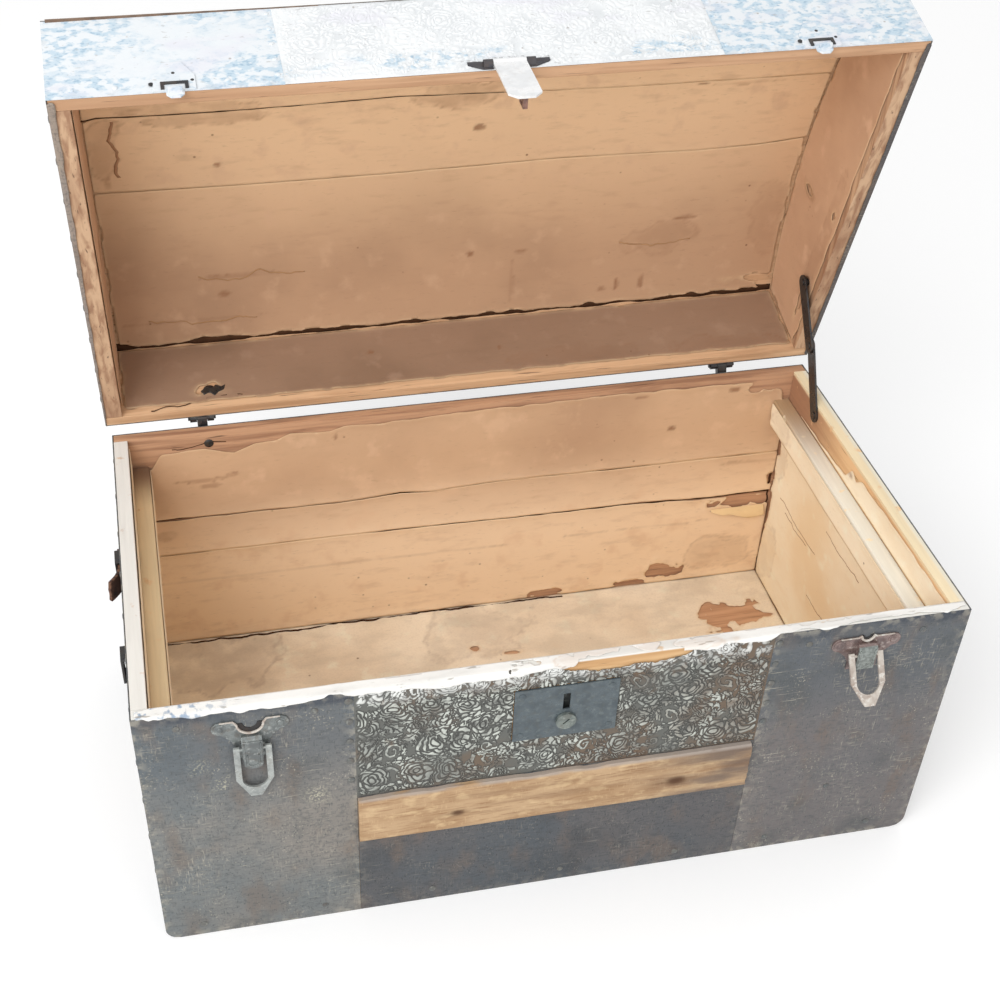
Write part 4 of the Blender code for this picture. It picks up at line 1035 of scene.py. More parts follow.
def rose(radius, turn):
    """Rings of petals, each turned against the one inside it, with a fine hollow line round every petal."""
    def motif(u, v):
        r, angle = np.hypot(u, v) / radius, np.arctan2(v, u) + turn
        lines = np.zeros(r.shape)
        for ring, petals in ROSE_RINGS:
            edge = ring * (0.8 + 0.25 * np.abs(np.cos(petals * angle / 2 + 5 * ring)))
            lines = np.maximum(lines, np.exp(-((r - edge) / 0.08) ** 2))
        return soft(1.14 - r, 0.08), (1 - lines) * soft(1.06 - r, 0.06)
    return motif


def scroll(reach, hand, turn):
    """A spiral with a lobed rim; hand is the way it winds."""
    def motif(u, v):
        r, angle = np.hypot(u, v), hand * np.arctan2(v, u) + turn
        laps = r / reach * 1.7 - angle / (2 * math.pi)
        off = np.abs(laps - np.round(laps)) * reach / 1.7
        lobes = 0.7 + 0.3 * np.cos(8 * angle)
        curl = soft(1.0 + 0.11 * r * lobes - off, 1.0) * soft(reach * (0.85 + 0.15 * lobes) - r, 1.5)
        return soft(reach + 1.5 - r, 2), curl
    return motif


def leaf(length, width, turn):
    """A bent leaf with a toothed edge, cut by its veins."""
    def motif(u, v):
        p = (u * math.cos(turn) + v * math.sin(turn)) / length * 2
        q = (v * math.cos(turn) - u * math.sin(turn)) / width * 2 + 0.35 * p * p
        shape = 1 - p * p - np.abs(q) * (1.1 + 0.35 * np.cos(11 * p))
        veins = np.maximum(np.exp(-(q / 0.15) ** 2), 0.8 * soft(np.cos(9 * p + 5 * np.abs(q)) - 0.55, 0.4))
        return soft(shape + 0.3, 0.2), soft(shape, 0.25) * (1 - veins)
    return motif


print("a rose's middle stands at", float(rose(10, 0)(np.zeros(1), np.zeros(1))[1][0]))

# %% [markdown]
# ## Spreading the motifs
# Roses and scrolls stand in rows that are shifted against each other, each with leaves around it. A tile
# that repeats would be simpler, but the eye finds it at once. So a seeded generator moves and turns every
# motif, and a soft bend over the whole sheet makes no two of them alike.

# %% Heights of the whole pattern
PITCH = 33.0
BEND, SHAKE = 13, 5
LEAVES_ROUND = 6


def ornament(us, vs, seed):
    """Heights 0 to 1 of the stamped pattern over a grid of places in millimetres."""
    rng = np.random.default_rng(seed)
    bends = [BEND * (cloud(us[:, None], vs[None, :], 24, seed + k, 2) - 0.5) for k in (1, 2)]
    shakes = [SHAKE * (cloud(us[:, None], vs[None, :], 7, seed + k, 2) - 0.5) for k in (3, 4)]
    bent_u, bent_v = us[:, None] + bends[0] + shakes[0], vs[None, :] + bends[1] + shakes[1]
    contour = cloud(us[:, None], vs[None, :], 23, seed, 2)
    height = 0.85 * soft(np.sin(2 * math.pi * 3.6 * contour) - 0.05, 0.6)

    def press(u, v, reach, motif):
        i = slice(*np.searchsorted(us, (u - reach, u + reach)))
        j = slice(*np.searchsorted(vs, (v - reach, v + reach)))
        cover, raised = motif(bent_u[i, j] - u, bent_v[i, j] - v)
        height[i, j] = height[i, j] * (1 - cover) + raised

    for row, v in enumerate(np.arange(vs[0], vs[-1] + PITCH, PITCH * 0.8)):
        for column, u in enumerate(np.arange(us[0] - PITCH * 0.5 * (row % 2), us[-1] + PITCH, PITCH)):
            u_now, v_now = (u, v) + rng.uniform(-7, 7, 2)
            turn = rng.uniform(0, 2 * math.pi)
            for k in range(LEAVES_ROUND):
                angle = turn + k * 2 * math.pi / LEAVES_ROUND + rng.uniform(-0.4, 0.4)
                at = PITCH * rng.uniform(0.4, 0.58)
                press(u_now + at * math.cos(angle), v_now + at * math.sin(angle), 14,
                      leaf(rng.uniform(13, 23), rng.uniform(8, 12), angle + rng.choice((-0.9, 0.9))))
            size = rng.uniform(10, 17)
            curled = (row + 2 * column + rng.integers(0, 2)) % 5 == 0
            middle = scroll(size * 0.7, rng.choice((-1, 1)), turn) if curled else rose(size, turn)
            press(u_now, v_now, 19, middle)
    return height


sample = ornament(np.arange(2 * PITCH), np.arange(2 * PITCH), 1)
print("half of the pattern lies above", round(float(np.median(sample)), 2), "of its height")

# %% [markdown]
# ## Wear on the stamping
# Hands and weather rub the heights bare, while dark paint stays in the hollows and along the outlines. Near
# the rim the heights are also painted almost white as painted highlight. The height of the pattern is a
# value on the mesh, so the finish can follow it.

# %% Stamped finish


def stamped_finish(name, ground, raised, brown, bright):
    """Dark paint in the hollows, bare tin on the heights; bright is a painted highlight near the rim, a colour and
    two places along Z.
    """
    f = Finish(name, roughness=0.5, specular=0.5)
    relief = f.read("relief")
    browner = f.plus(f.mottle(60, detail=5), f.band(f.along("X"), -0.1, 0.15, 0.15))
    hollow = f.blend(ground, brown, f.band(browner, 0.5, 0.7))
    height = f.blend(raised, toned(raised, 0.74), f.band(f.mottle(45, detail=5), 0.4, 0.7))
    rusted = f.both(f.band(f.along("X"), 0.0, 0.14), f.band(f.mottle(26), 0.35, 0.6, 0.6))
    height = f.blend(height, brown, rusted)
    rubbed = f.both(f.band(relief, 0.15, 0.75), f.band(f.mottle(14, detail=8), 0.32, 0.58))
    colour = f.blend(hollow, height, rubbed)
    outline = f.both(f.band(relief, 0.02, 0.22), f.band(relief, 0.6, 0.38))
    colour = f.blend(colour, toned(ground, 0.55), f.both(outline, 0.8))
    colour = f.blend(colour, ground, f.band(f.mottle(48, detail=7), 0.54, 0.7, 0.42))
    # Painted highlight: near the rim the heights are painted almost white.
    shade, start, end = bright
    painted_highlight_near_rim = f.both(f.band(f.along("Z"), start, end), f.band(f.mottle(16, detail=5), 0.3, 0.52))
    colour = f.blend(colour, shade, f.both(painted_highlight_near_rim, f.band(relief, 0.0, 0.45)))
    colour = f.blend(colour, (112, 86, 64), f.both(f.band(f.mottle(20, detail=6), 0.62, 0.72), 0.4))
    return f.done(colour, f.band(relief, 1.4, -0.4, 1.0), f.mottle(2, detail=3), 0.15, 0.4)


# The last colour and heights give the painted highlight near the rim.
front_stamped = stamped_finish("stamped_tin", (98, 99, 95), (190, 194, 186), (108, 93, 79),
                               ((224, 225, 222), 0.280, 0.300))
print("stamped finish mixed")

# %% [markdown]
# ## The stamped front
# The sheet is a fine grid that takes its heights from the pattern. It has a window for the lock's plate,
# and its upper edge is torn off above the lock. A Boolean could cut the window, but the grid is cut
# already. A sheet can also keep a flat seat for a part that lies on it.

# %% Stamp the front sheet
STAMP_CELL = 1.0
STAMP_DEPTH = 1.4
WINDOW_GAP = 0.6
LAP = 0.5
TIN_THICK = 0.5
SEAT_SLOPE = 2.0


def stamped(node, finish, seed, window=None, torn=None, depth=STAMP_DEPTH, flat=None):
    """A stamped sheet in place of its solid; it may have a window, a torn-off strip and a flat seat."""
    low, high = size_of(node)
    us = np.linspace(low[0] - LAP, high[0] + LAP, int((high[0] - low[0]) / STAMP_CELL) + 1)
    vs = np.linspace(low[2], high[2], int((high[2] - low[2]) / STAMP_CELL) + 1)
    relief = ornament(us, vs, seed)
    u, v = np.meshgrid(us, vs, indexing="ij")
    border = np.minimum.reduce([u - us[0], us[-1] - u, v - vs[0], vs[-1] - v])
    relief = relief * soft(border - 0.5, 4)
    if flat:
        half, tall = flat
        relief = relief * np.clip(np.maximum(np.abs(u) - half, v - vs[0] - tall) / SEAT_SLOPE, 0, 1)
    keep = border + STAMP_CELL / 100
    if window:
        (left, _, foot), (right, _, top) = window
        outside = np.maximum.reduce([left - u, u - right, foot - v, v - top])
        keep = np.minimum(keep, outside - WINDOW_GAP)
    if torn:
        middle, wide, tall = torn
        gone = 1 - np.hypot((u - middle) / wide * 2, (v - high[2]) / tall)
        keep = np.minimum(keep, -gone * tall + 7 * (cloud(u, v, 16, seed + 1) - 0.5))
    faces, at = cut_grid(keep, u=u, v=v, relief=relief)
    points = np.stack([at["u"], low[1] - depth * at["relief"], at["v"]], 1)
    body = "lid" if node in LID_NODES else "base"
    facts = {"relief": at["relief"], "rise": (at["v"] - low[2]) / 100}
    made = piece(node.replace("_sheet", "_tin"), points, faces, finish, body, facts, TIN_THICK)
    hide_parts(node)
    return made


TORN_STRIP = (52.0, 128.0, 14.0)
front_stamp = stamped("front_embossed_sheet", front_stamped, 301, size_of("lock_plate"), TORN_STRIP)
print("stamped front:", len(front_stamp.data.polygons), "faces,", STAMP_DEPTH, "mm deep")

# %% [markdown]
# ## The lid's front
# Opened, the lid's front faces the sky, so its tin is painted near white as painted highlight, with
# patches of pale blue paint. It is the same stamped and plain tin as below, with another finish. Under the
# hasp the relief is pressed flat, so that the hasp has room to turn.

# %% Near-white tin of the lid's front, painted highlight


def lit_white_finish(name, plain):
    """Near-white painted highlight over pale blue paint; on stamped tin the hollows are a little darker."""
    f = Finish(name, roughness=0.6, specular=0.35)
    # The near-white ground is painted highlight where the open lid faces the sky; the blue is paint.
    white = (221, 225, 228) if plain else (229, 231, 232)
    flaked = f.band(f.mottle(7, (0.7, 1, 1), 9), 0.44, 0.58)
    broad = f.band(f.mottle(90, detail=3), 0.32, 0.52) if plain else 0.0
    hem = f.both(f.band(f.read("rise"), 0.05, 0.09), f.band(f.read("rise"), 0.34, 0.2))
    hem = f.both(hem, f.band(f.mottle(60, (0.5, 1, 1), 3), 0.44, 0.56))
    blue = f.both(flaked, f.plus(broad, hem))
    colour = f.blend(white, (188, 206, 218), blue)
    deeper = f.both(blue, f.band(f.mottle(2.5, (0.6, 1, 1), 6), 0.5, 0.64))
    colour = f.blend(colour, (158, 183, 201), deeper)
    colour = f.blend(colour, (216, 214, 224), f.band(f.mottle(34, (0.4, 1, 1)), 0.55, 0.7, 0.5))
    if not plain:
        hollow = f.band(f.read("relief"), 0.5, 0.1)
        colour = f.blend(colour, (214, 217, 219), f.both(hollow, f.band(f.mottle(40), 0.35, 0.65)))
    colour = f.blend(colour, (176, 174, 172), f.band(f.mottle(3.2, (0.5, 1, 1), 5), 0.63, 0.73, 0.55))
    colour = f.blend(colour, (148, 138, 130), f.band(f.specks(23), 0.07, 0.03, 0.6))
    worn = f.both(f.read("edge"), f.band(f.mottle(7, detail=6), 0.5, 0.62))
    colour = f.blend(colour, (186, 194, 200), f.both(worn, 0.5))
    return f.done(colour, bump=f.mottle(4, detail=5), depth=0.3, strength=0.5)


pale_tin, pale_stamped = lit_white_finish("lit_white_tin", True), lit_white_finish("lit_white_stamping", False)
tin("lid_front_left_sheet", pale_tin, 1, seed=241)
tin("lid_front_right_sheet", pale_tin, 1, seed=245)
HASP_SEAT = (17.0, 10.0)
LID_STAMP_DEPTH = 0.8
lid_stamp = stamped("lid_front_embossed_sheet", pale_stamped, 311, depth=LID_STAMP_DEPTH,
                    flat=HASP_SEAT)
print("lid front stamped with", len(lid_stamp.data.polygons), "faces")

# %% [markdown]
# ## Boards and rims
# The box's end boards and cleats have their upper edges painted almost white as painted highlight, and
# the lid's ends show their worn ones. Sharp edges never look real, so each solid keeps its mesh and gets a
# small bevel, after a weld that joins the corners which the frame's file keeps apart.

# %% Soften and finish the boards
WELD_REACH = 0.00001
BEVEL_ANGLE = math.radians(30)


def dress(names, finish, width=0.8, steps=2):
    """Gives nodes a finish, rounded edges and even shading."""
    for name in names:
        node = nodes[name]
        node.data.materials.clear()
        node.data.materials.append(finish)
        weld = node.modifiers.new("join_corners", "WELD")
        weld.merge_threshold = WELD_REACH
        bevel = node.modifiers.new("soft_edges", "BEVEL")
        bevel.width = width * MM
        bevel.segments = steps
        bevel.limit_method = "ANGLE"
        bevel.angle_limit = BEVEL_ANGLE
        node.modifiers.new("even_shading", "WEIGHTED_NORMAL")


SIDES = ("left", "right")
dress(["front_board"], rim_x, 1.2)
dress(["back_lower_board", "back_upper_board"], board_x, 1.0)
dress([f"floor_{name}_board" for name in ("front", "middle", "rear")], floor_pine, 1.0)
dress(["lid_front_board"], lid_front_pine)
dress(["left_end_board"], left_rim, 1.6)
dress(["right_end_board"], right_rim, 1.6)
dress(["left_tray_cleat"], left_cleat, 1.5)
dress(["right_tray_cleat"], right_cleat, 1.5)
dress(["lid_back_board"] + [f"lid_{name}_stave" for name in ("front", "front_crown", "rear_crown", "rear")],
      lid_pine)
dress([f"lid_{side}_end_board" for side in SIDES], lid_end_wood, 1.6)
print("boards dressed")

# %% [markdown]
# ## Hardware
# Hinges, stay and handle caps are black iron, the catches are steel that was once plated, and the hasp's
# plate is pale zinc, painted near white as painted highlight like the lid's front. Old metal is never one
# grey, so each finish has a second tone and rust in patches, and most have brighter rubbed spots.

# %% Metal finishes


def metal_finish(name, ground, second, rust, metallic=0.55, roughness=0.5, rusty=0.5, bright=None,
                 patch=None):
    """Old metal; patch is an axis, two places along it in metres and the colour it has past them."""
    f = Finish(name, metallic, roughness)
    cloudy = f.mottle(11, detail=6)
    colour = f.blend(ground, second, f.band(cloudy, 0.4, 0.62))
    colour = f.blend(colour, rust, f.both(f.band(f.mottle(6, detail=7), 0.5, 0.66), rusty))
    if bright:
        colour = f.blend(colour, bright, f.band(f.mottle(4, detail=5), 0.55, 0.68, 0.8))
    if patch:
        axis, start, end, shade = patch
        worn = f.blend(shade, toned(shade, 0.8), f.band(f.mottle(3, detail=5), 0.4, 0.6))
        colour = f.blend(colour, worn, f.band(f.along(axis), start, end))
    return f.done(colour, f.band(cloudy, 0.1, 0.9, roughness + 0.2), f.mottle(2.5, detail=5), 0.25, 0.5)


SOCKET_FACE = size_of("right_catch_plate")[0][1] * MM
STAPLE_TOP = size_of("hasp_plate")[0][2] * MM + 0.009
LEAF_MIDDLE = np.mean([corner.co.y for corner in nodes["hasp_pin"].data.vertices])
iron = metal_finish("black_iron", (56, 56, 58), (72, 70, 68), (88, 70, 60), rusty=0.35)
steel = metal_finish("old_steel", (124, 129, 128), (104, 108, 108), (104, 94, 84), rusty=0.35,
                     bright=(160, 164, 161))
rosy = metal_finish("rusty_steel", (136, 118, 114), (112, 98, 96), (104, 80, 72), rusty=0.5,
                    bright=(168, 156, 150),
                    patch=("Y", SOCKET_FACE + 0.0022, SOCKET_FACE + 0.0012, (146, 152, 148)))
pale_steel = metal_finish("worn_steel_bail", (164, 168, 165), (138, 142, 140), (118, 106, 94), 0.3,
                          rusty=0.3, bright=(198, 200, 196))
bone = metal_finish("worn_bail", (196, 188, 178), (172, 160, 150), (140, 112, 96), 0.2, rusty=0.3,
                    bright=(216, 212, 204))
slate = metal_finish("lock_slate", (84, 94, 99), (76, 85, 90), (84, 88, 86), 0.2, 0.6, 0.4, (98, 107, 109))
plug = metal_finish("key_plug_steel", (126, 133, 128), (102, 110, 108), (96, 92, 84), rusty=0.4,
                    bright=(152, 158, 152))
# The hasp's plate is pale zinc painted near white as painted highlight; below the staple's top it is rusty brown.
zinc = metal_finish("pale_zinc_with_highlight", (233, 233, 233), (222, 223, 224), (196, 190, 184), 0.05, rusty=0.2,
                    patch=("Z", STAPLE_TOP + 0.001, STAPLE_TOP, (134, 100, 88)))
# Past its middle the hasp's leaf turns near white, a painted highlight like the lid's front.
leaf_iron = metal_finish("hasp_iron", (66, 66, 72), (80, 78, 80), (92, 76, 68), rusty=0.3,
                         patch=("Y", LEAF_MIDDLE + 0.0036, LEAF_MIDDLE + 0.0042, (236, 238, 240)))
nail = metal_finish("painted_nail", (88, 92, 93), (104, 104, 100), (98, 84, 74), 0.3, rusty=0.4,
                    bright=(132, 132, 126))
rusty_edge = metal_finish("rusty_edge", (124, 100, 82), (98, 80, 68), (112, 84, 64), 0.1, 0.8, 0.6)
# A near-black finish for the painted shadow in the catches' notches.
notch_shadow_dark = metal_finish("notch_shadow_dark", (34, 33, 34), (46, 43, 42), (58, 46, 40), 0.0, 0.9)
print("twelve metals mixed")

# %% [markdown]
# ## Finishing the hardware
# The frame's own solids are fine enough for the hardware, so they stay and only get a finish and soft
# edges. The two catches have aged differently: the left one is grey, the right one is rusty and its bail
# is as white as bone.

# %% Finish the hardware
for side in SIDES:
    dress([f"{side}_hinge_base_leaf", f"{side}_hinge_lid_leaf", f"{side}_hinge_pin"], iron, 0.4)
    dress([f"{side}_handle_front_cap", f"{side}_handle_rear_cap"], iron, 0.5)
    # The keepers take the lid front's near-white painted highlight.
    dress([f"{side}_lid_keeper"], pale_tin, 0.4)
dress(["stay_lower_arm", "stay_upper_arm"], iron, 0.5)
dress(["left_catch_plate"], steel, 0.7, 3)
dress(["left_catch_bail"], pale_steel, 0.7, 3)
dress(["right_catch_plate"], rosy, 0.7, 3)
dress(["right_catch_bail"], bone, 0.7, 3)
dress(["lock_plate"], slate, 0.4)
dress(["lock_key_plug"], plug, 0.5)
dress(["lock_case", "lock_bolt"], steel, 0.4)
dress(["hasp_leaf", "hasp_pin"], leaf_iron, 0.4)
dress(["hasp_plate"], zinc, 0.6, 3)
print("hardware dressed")

# %% [markdown]
# ## The worn front rim
# The front's tin is folded over the top of the front board. Paint and tin have worn there to a chalky
# white, which is also painted highlight where the rim faces the light, and above the lock a strip is torn off
# and shows the wood. The fold is a sheet like the lining, laid across the top, round the corner and down
# the front, so the same helper makes it.

# %% Fold a worn strip over the front rim
FOLD = 1.6
front_face = size_of("front_left_sheet")[0][1] - DENT
rim_width = inner_front - front_face
RIM_ENDS = (-377.5, 379.0)
RIM_DROP = [(-381, 6), (-323, 9), (-238, 9), (-195, 6), (-151, 9), (-81, 11), (-45, 12), (-9, 9), (120, 9),
            (186, 7), (196, 2), (381, 2)]


def over_rim(u, v, off):
    """Across the front board's top, round its edge and down its front."""
    turn = np.clip((v - rim_width + FOLD) / (2 * FOLD), 0, 1) * math.pi / 2
    flat, drop = np.minimum(v, rim_width - FOLD), np.maximum(v - rim_width - FOLD, 0)
    out, up = (FOLD + off) * np.sin(turn), (FOLD + off) * np.cos(turn)
    return u, inner_front - flat - out, rim - FOLD + up - drop


def rim_wear_and_highlight_finish(name):
    f = Finish(name, roughness=0.75, specular=0.3)
    # The chalky white is worn paint together with painted highlight where the rim faces the light.
    colour = f.blend((236, 235, 231), (218, 217, 213), f.band(f.mottle(22, (0.3, 1, 1), 6), 0.45, 0.7))
    bluish = f.both(f.band(f.mottle(9, detail=6), 0.5, 0.62), f.band(f.along("X"), -0.28, -0.34))
    colour = f.blend(colour, (150, 166, 184), bluish)
    colour = f.blend(colour, (150, 142, 132), f.band(f.mottle(4, (0.2, 1, 1), 6), 0.62, 0.7, 0.7))
    colour = f.blend(colour, (196, 150, 104), f.both(f.read("stain"), 0.8))
    return f.done(colour, bump=f.mottle(5, detail=5), depth=0.4, strength=0.5)


chalk = rim_wear_and_highlight_finish("rim_wear_and_highlight")
drop_line = [(u, rim_width + FOLD + drop) for u, drop in RIM_DROP]
paper("front_rim_fold", RIM_ENDS, 0.5, drop_line, over_rim, chalk, "base", (1.5, 6, 0.5, 0.5), seed=401,
      lip=0.6, tears=[(TORN_STRIP[0], rim_width + 6, TORN_STRIP[1] + 6, 19), (250, 3, 40, 4)],
      stains=[(TORN_STRIP[0], rim_width - 2, 160, 16, 0.6)], cell=2.0)
print("rim fold", round(rim_width, 1), "mm wide on top")

# %% [markdown]
# ## The bare slat
# One wooden slat is left on the front. Rain has washed out the soft grain, so the hard lines stand proud
# and long splits follow them. The slat's own solid is cut fine and its face is lowered along stretched
# noise. A bump alone would vanish at the slat's outline. The same noise darkens the hollows through a
# value on the mesh.

# %% Slat finish


def slat_finish(name):
    f = Finish(name, roughness=0.85, specular=0.2)
    fine = f.mottle(1.7, (0.08, 1, 1), 8, 0.3)
    colour = f.blend((188, 158, 124), (168, 136, 103), f.band(f.mottle(22, (0.4, 1, 1), 9), 0.38, 0.66))
    colour = f.blend(colour, (144, 110, 80), f.band(fine, 0.5, 0.72, 0.75))
    colour = f.blend(colour, (214, 186, 146), f.band(f.mottle(9, (0.5, 1, 1), 9), 0.52, 0.7, 0.6))
    colour = f.blend(colour, (206, 178, 140), f.band(f.mottle(1.4, (1, 1, 0.2), 6), 0.56, 0.72, 0.4))
    grey = f.both(f.band(f.along("X"), 0.06, 0.17), f.band(f.mottle(18, (0.2, 1, 1), 6), 0.32, 0.6))
    colour = f.blend(colour, (112, 98, 89), f.both(grey, 0.9))
    colour = f.blend(colour, (112, 80, 58), f.both(f.read("groove"), 0.5))
    colour = f.blend(colour, (84, 58, 42), f.both(f.read("knot"), 0.95))
    edge_wear = f.both(f.read("edge"), f.band(f.mottle(12, (0.3, 1, 1), 5), 0.3, 0.5))
    colour = f.blend(colour, (164, 154, 146), f.both(edge_wear, 0.8))
    return f.done(colour, bump=fine, depth=0.5, strength=0.6)


slat_wood = slat_finish("slat_wood")
print("slat wood mixed")

# %% Weather the slat
SLAT_CELL = 2.5
KNOTS = [(116, 132, 6), (-98, 132, 4)]
SPLITS = [(134, 192, 141, 1.5), (-150, -40, 126, 0.5), (20, 110, 151, 0.5), (-60, 90, 119, 0.4)]
points, faces = fine_copy("front_slat", SLAT_CELL)
low, high = size_of("front_slat")
u, v = points[:, 0].copy(), points[:, 2].copy()
facing = np.clip((high[1] - 2 - points[:, 1]) / 2, 0, 1)
groove = 0.7 * soft(cloud(u / 22, v, 8, 411, 3) - 0.6, 0.2)
for first, last, height, deep in SPLITS:
    line = height + 2.5 * (cloud(u, 0, 60, 415) - 0.5)
    split = np.exp(-((v - line) / 1.1) ** 2) * soft(u - first, 12) * soft(last - u, 12)
    groove = np.maximum(groove, deep * split)
knot = np.zeros(len(u))
for at_u, at_v, size in KNOTS:
    knot = np.maximum(knot, np.exp(-(np.hypot((u - at_u) / 1.9, v - at_v) / size) ** 4))
    tail = np.hypot((u - at_u) / 9, v - at_v - 0.03 * (u - at_u)) / size * 2.4
    knot = np.maximum(knot, 0.6 * np.exp(-tail ** 2))
points[:, 1] += facing * (0.9 * groove + 0.7 * knot * cloud(u, v, 5, 419) + 0.5 * cloud(u, v, 90, 421))
top_side, right_side = np.clip((v - high[2] + 4) / 4, 0, 1), np.clip((u - high[0] + 6) / 6, 0, 1)
points[:, 2] -= top_side * 1.8 * soft(cloud(u, 0, 30, 423) - 0.45, 0.4)
points[:, 0] -= right_side * 4 * cloud(v, 0, 9, 425)
points[:, 1] += facing * 1.6 * (soft(v - high[2] + 3, 3) + soft(low[2] + 3 - v, 3))
facts = {"groove": np.clip(groove, 0, 1) * facing, "knot": knot * facing, "edge": soft(v - high[2] + 4, 3)}
slat = piece("weathered_slat", points, faces, slat_wood, "base", facts)
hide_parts("front_slat")
print("slat", *np.round(high - low, 1), "mm with", len(SPLITS), "splits and", len(KNOTS), "knots")

# %% [markdown]
# ## A torn leather handle
# Of the left handle only a stub is left in its rear loop. It follows the inner line of its solid, which is
# read from the frame, and its free end is frayed by the same cut as the torn paper. A bevelled curve would
# make a cleaner strap, but not a torn one.

# %% Fray the strap's stub
LEATHER_THICK = 3.2


def leather_finish(name):
    f = Finish(name, roughness=0.7, specular=0.35)
    colour = f.blend((78, 52, 42), (48, 34, 30), f.band(f.mottle(12, detail=6), 0.4, 0.65))
    colour = f.blend(colour, (128, 90, 66), f.both(f.read("torn"), f.band(f.mottle(3), 0.4, 0.6)))
    cracks = f.specks(3.5, (1, 0.6, 1))
    return f.done(colour, bump=f.plus(cracks, f.mottle(2)), depth=0.5, strength=0.6)


stub = np.array([corner.co for corner in nodes["left_handle_strap_stub"].data.vertices]) / MM
stub_low, stub_high = size_of("left_handle_strap_stub")
inside_line = sorted((y, stub[np.isclose(stub[:, 1], y)][:, 0].max()) for y in set(stub[:, 1].tolist()))


def on_strap(u, v, off):
    return run(inside_line, u) - off, u, v


strap = paper("torn_handle_strap", (stub_low[1], stub_high[1]), stub_low[2], stub_high[2], on_strap,
              leather_finish("old_leather"), "base", (1.0, 1.0, 4.0, 0.5), seed=431, lip=0.8,
              thick=LEATHER_THICK, cell=1.5)
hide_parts("left_handle_strap_stub")
print("strap stub", round(stub_high[1] - stub_low[1]), "mm long")

# %% [markdown]
# ## Tin folded over the lid's ends
# The dark tin of the lid's ends is turned in over the rim and nailed there, and leaves the inner half of
# the wooden edge bare. The fold's inner edge is hand cut, so it wavers. It could be one with the dented
# sheet, but at the left it has another colour.

# %% Fold the lid's end tin over its rim
FOLD_WIDTHS = ([(-210, 7.5), (-60, 6), (100, 3.5), (210, 3)], [(-210, 6.5), (210, 6)])
lid_half = size_of("lid_right_end_sheet")[1][0]
lid_depth = size_of("lid_left_end_sheet")[1][1] - 1


def under_rim(side):
    return lambda u, v, off: (side * (lid_half - v), u, lid_rim - off)


for name, side, width, paint in zip(SIDES, (-1, 1), FOLD_WIDTHS, (fold_paint, top_paint)):
    paper(f"lid_{name}_rim_fold", (-lid_depth, lid_depth), 0, width, under_rim(side), paint, "lid",
          (0, 1.2, 0.5, 0.5), seed=441 + side, lip=0.3, cell=2.5)
print("rim folds", FOLD_WIDTHS[0][0][1], "mm wide at most,", round(2 * lid_depth), "mm long")

# %% [markdown]
# ## Nails
# Every sheet is held by rows of small domed nails, closer along the seams than along the edges. One mesh
# holds a whole row: a low dome is built from four rings and set at each spot, a little different in size
# each time. An object for each nail would be easier to move, but two hundred of them would slow the scene.

# %% A row of domed nails
DOME_RINGS = ((1.0, -0.4), (1.0, 0.3), (0.8, 0.75), (0.42, 0.96))
RING_SIDES = 12
NAIL = 3.4
TO_FRONT, TO_BACK = (0, -1, 0), (0, 1, 0)


def studs(name, spots, facing, finish=nail, body="base", radius=NAIL, dome=0.4, seed=5):
    """Domed heads at spots in millimetres; facing is one direction, or gives the direction at a spot."""
    rng = np.random.default_rng(seed)
    points, faces = [], []
    for spot in spots:
        out = Vector(facing(spot) if callable(facing) else facing).normalized()
        across = out.orthogonal().normalized()
        up = out.cross(across)
        size, first = radius * rng.uniform(0.88, 1.12), len(points)
        for share, height in DOME_RINGS:
            for k in range(RING_SIDES):
                angle = 2 * math.pi * k / RING_SIDES
                ring = across * math.cos(angle) + up * math.sin(angle)
                points.append(Vector(spot) + ring * size * share + out * size * dome * height)
        points.append(Vector(spot) + out * size * dome)
        for ring in range(len(DOME_RINGS) - 1):
            for k in range(RING_SIDES):
                a, b = first + ring * RING_SIDES + k, first + ring * RING_SIDES + (k + 1) % RING_SIDES
                faces.append((a, b, b + RING_SIDES, a + RING_SIDES))
        last = first + (len(DOME_RINGS) - 1) * RING_SIDES
        faces += [(last + k, last + (k + 1) % RING_SIDES, len(points) - 1) for k in range(RING_SIDES)]
        faces.append(tuple(range(first + RING_SIDES - 1, first - 1, -1)))
    return piece(name, points, faces, finish, body)


print("a nail's head has", len(DOME_RINGS) * RING_SIDES + 1, "points")

# %% [markdown]
# ## Nails of the box
# Most nails stand in rows by rule, along the seams and the edges of the sheets. A few in the front are
# placed one by one, because they were driven in unevenly.

# %% Drive the nails
tin_front = size_of("front_left_sheet")[0][1] - DENT / 2
tin_back = size_of("back_sheet")[1][1] + DENT / 2
tin_right = size_of("right_end_sheet")[1][0] + DENT / 2
panel = size_of("front_embossed_sheet")[1][0]
seam = [(s * (panel + 5), tin_front, z) for s in (-1, 1) for z in np.arange(rim - 11, 190, -25.3)]
edge_row = [(x, tin_front, z) for x in (-344, -226, 226, 337) for z in (rim - 17, 16)]
foot_row = [(x, tin_front, 16) for x in (-120, 10, 130)]
studs("front_nails", seam + edge_row + foot_row + [(281, tin_front, 83)], TO_FRONT, seed=501)
studs("back_nails", [(x, tin_back, z) for x in np.arange(-350, 351, 70) for z in (rim - 14, 16)], TO_BACK,
      seed=503)
for name, side in zip(SIDES, (-1, 1)):
    spots = [(side * tin_right, y, z) for y in np.arange(-180, 181, 60) for z in (rim - 14, 40)]
    spots += [(side * tin_right, y, z) for y in (-194, 194) for z in np.arange(90, 260, 50)]
    studs(f"{name}_end_nails", spots, (side, 0, 0), seed=505 + side)
print(len(seam) + len(edge_row) + len(foot_row) + 1, "nails in the front")

# %% [markdown]
# ## Nails of the lid
# The lid's front has smaller nails under its white paint. Those of the dome stand square to the curve, so
# their direction is worked out for each spot from the dome's centre.

